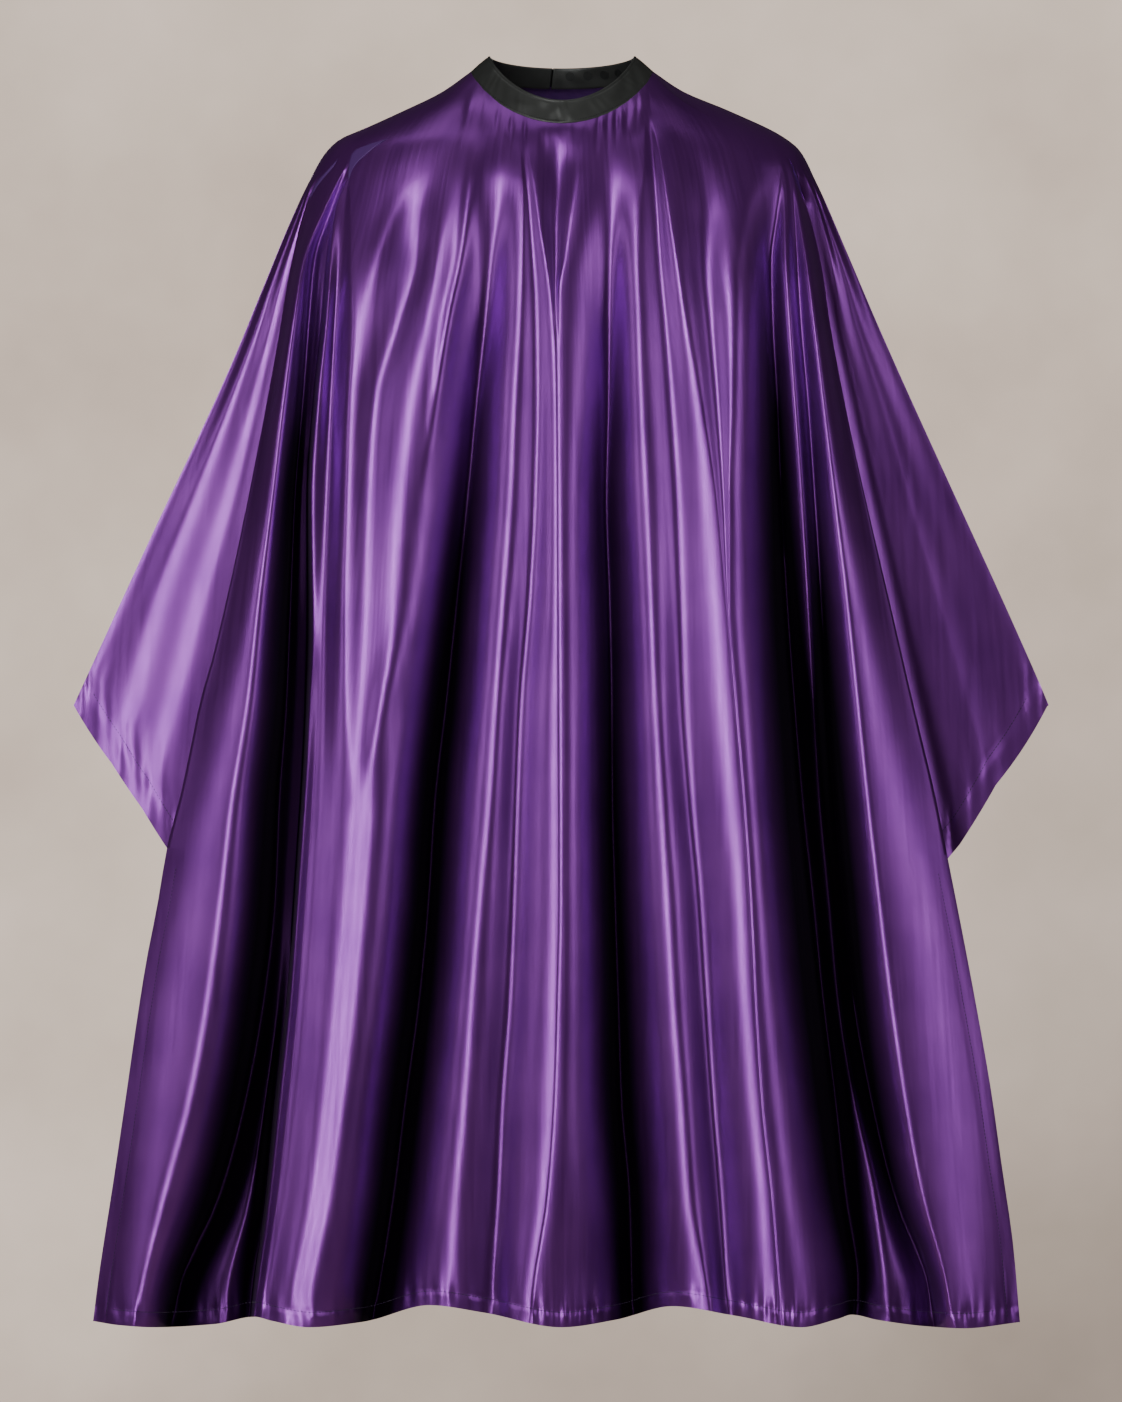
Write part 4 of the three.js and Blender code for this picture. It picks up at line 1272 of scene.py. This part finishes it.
@dataclass
class Neckband:
    """The stand-up band round the neck: front, the two arms that open behind, the closure strap and the seam."""

    finishes: Finishes

    def build(self) -> None:
        """Builds the band's lengths and its stitches."""
        side = math.pi / 2
        gap = 0.004
        satin = self.finishes.band
        left_end, right_end = closure_angle(LEFT_ARM_END), closure_angle(RIGHT_ARM_END)
        front = Band(
            "band_front", (-side + gap, side - gap), ("neckband_front_cover", "neckband_front_core"), steps=320
        ).build(satin)
        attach(front, "cape")
        for word, angles in (("left", (left_end, -side - gap)), ("right", (-3 * side + gap, right_end))):
            nodes = (f"neckband_{word}_cover", f"neckband_{word}_core")
            bend(Band(f"band_{word}", angles, nodes).build(satin))
        strap = Band(
            "band_strap", (closure_angle(STRAP_TIP), closure_angle(STRAP_ROOT)),
            ("closure_strap_cover", "closure_strap_core"),
            outer=-STRAP_FOOT - BAND_THICKNESS, steps=80, height=0.9,
        ).build(satin)
        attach(strap, "strap")
        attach(self.seam("front", -side + 0.02, side - 0.02), "cape")
        bend(self.seam("left", left_end + 0.04, -side - 0.02))
        bend(self.seam("right", -3 * side + 0.02, right_end - 0.04))

    def seam(self, word: str, first: float, last: float) -> bpy.types.Object:
        """Sews the sheet into one length of the band: short stitches just above its foot."""
        angle = np.linspace(first, last, 120)
        path = band_point(angle, 0.1, -0.2)
        outward = path - band_point(angle, 0.1, 0.8)
        piece = stitches(f"stitches_neck_{word}", path, outward, 2.6, 2.0, 0.55, self.finishes.band_thread)
        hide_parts(f"neck_seam_thread_{word}")
        return report(piece)


# ---- The scene ----


# The soft boxes: name, place and aim in metres, size in metres and power in watts.
SOFT_BOXES = (
    ("key", (-1.25, -4.8, 1.1), (0.0, 0.0, -0.6), (0.45, 2.6), 82.0),
    ("low", (-1.25, -4.8, -1.05), (0.0, 0.0, -0.9), (0.45, 1.5), 36.0),
    ("left", (-4.2, -2.4, 0.4), (0.0, 0.0, -0.6), (0.8, 2.2), 16.0),
    ("right", (4.2, -2.4, 0.2), (0.0, 0.0, -0.6), (0.8, 2.2), 20.0),
    ("top", (-0.3, -0.4, 2.2), (0.0, 0.0, -0.2), (1.6, 1.2), 5.0),
    ("rear_left", (-1.1, 4.5, -0.3), (0.0, 0.0, -0.6), (1.4, 2.0), 46.0),
    ("rear_right", (1.1, 4.5, -0.3), (0.0, 0.0, -0.6), (1.4, 2.0), 40.0),
)


@dataclass
class Studio:
    """A pale round floor, soft boxes and the camera straight in front."""

    floor_drop_m: float = 1.5
    floor_radius_m: float = 1.5

    def build(self) -> None:
        """Sets the stage."""
        self.floor()
        self.world()
        for box in SOFT_BOXES:
            self.soft_box(*box)
        self.camera()

    def floor(self) -> None:
        """A round floor with a faint grain."""
        bm = bmesh.new()
        down = Matrix.Translation((0, 0, -self.floor_drop_m))
        bmesh.ops.create_circle(bm, cap_ends=True, segments=96, radius=self.floor_radius_m, matrix=down)
        floor = finished("floor", bm, Hard("painted_floor", "#C4BAAE", "#BAB0A4", 0.0, 0.8, 6.0, 0.05).make())

    def world(self) -> None:
        """A warm grey all round: mottled and bright where it is seen, with a painted shadow towards the lower right,
        and plain and dim as a light.
        """
        world = bpy.data.worlds.new("studio")
        bpy.context.scene.world = world
        world.use_nodes = True
        tree = world.node_tree
        tree.nodes.clear()
        place = add_node(tree, "TexCoord").outputs["Generated"]
        cloud = add_node(tree, "TexNoise", Vector=place, Scale=9.0, Detail=5.0, Roughness=0.6)
        tone = add_node(tree, "ValToRGB", Fac=cloud.outputs["Fac"], stops=((0.35, "#A8988B"), (0.65, "#C0AFA2")))
        # Painted shadow: the seen grey is half as bright towards the lower right as elsewhere, where the cape's shadow
        # would fall on a wall behind.
        way = add_node(tree, "SeparateXYZ", Vector=place)
        low = add_node(tree, "Math", operation="MULTIPLY_ADD", _0=way.outputs["X"], _1=0.8)
        down = add_node(tree, "Math", operation="MULTIPLY", _0=way.outputs["Z"], _1=-1.0)
        tree.links.new(down.outputs[0], low.inputs[2])
        dim = add_node(tree, "MapRange", Value=low.outputs[0], From_Min=0.03, From_Max=0.2, To_Min=2.0, To_Max=1.0)
        seen = add_node(tree, "Background", Color=tone.outputs["Color"], Strength=dim.outputs[0])
        cast = add_node(tree, "Background", Color=hexed("#9A938C"), Strength=0.08)
        path = add_node(tree, "LightPath")
        both = add_node(tree, "MixShader", _0=path.outputs["Is Camera Ray"], _1=cast.outputs[0], _2=seen.outputs[0])
        add_node(tree, "OutputWorld", Surface=both.outputs[0])

    def soft_box(
        self, name: str, place: Iterable[float], target: Iterable[float], size: tuple[float, float], power: float
    ) -> None:
        """A rectangular soft box, aimed at a point."""
        light = bpy.data.lights.new(name, "AREA")
        light.shape = "RECTANGLE"
        light.size, light.size_y = size
        light.energy = power
        box = bpy.data.objects.new(name, light)
        box.location = place
        box.rotation_euler = (Vector(target) - Vector(place)).to_track_quat("-Z", "Y").to_euler()
        bpy.context.scene.collection.objects.link(box)

    def camera(self) -> None:
        """The camera, level and straight in front, on the sight line that the board is drawn for."""
        lens = bpy.data.cameras.new("camera")
        lens.sensor_width = SENSOR_WIDTH
        lens.lens = SENSOR_WIDTH * EYE_DISTANCE / VIEW_WIDTH
        lens.clip_end = 60.0
        camera = bpy.data.objects.new("camera", lens)
        camera.location = (-0.001, -EYE_DISTANCE * MM, -EYE_DROP * MM)
        camera.rotation_euler = (math.pi / 2, 0, 0)
        bpy.context.scene.collection.objects.link(camera)
        bpy.context.scene.camera = camera


def dress(frame: dict, finishes: Finishes) -> None:
    """Gives the nodes that keep their own shape their finishes."""
    kinds = (
        ("snap_stud", finishes.steel), ("snap_post", finishes.cap),
        ("snap_socket", finishes.steel), ("snap_cap", finishes.cap),
    )
    for name, node in frame["nodes"].items():
        for word, material in kinds:
            if word in name:
                node.data.materials.clear()
                node.data.materials.append(material)


def main() -> None:
    """Loads the frame, builds the studio and every piece, and gives the snaps their finishes."""
    logging.basicConfig(level=logging.INFO, format="%(message)s")
    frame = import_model()
    finishes = Finishes.make()
    Studio().build()
    front = Front()
    Sheet(finishes, front).build()
    Stitching(front, finishes.thread).build()
    Neckband(finishes).build()
    dress(frame, finishes)


if __name__ == "__main__":
    main()
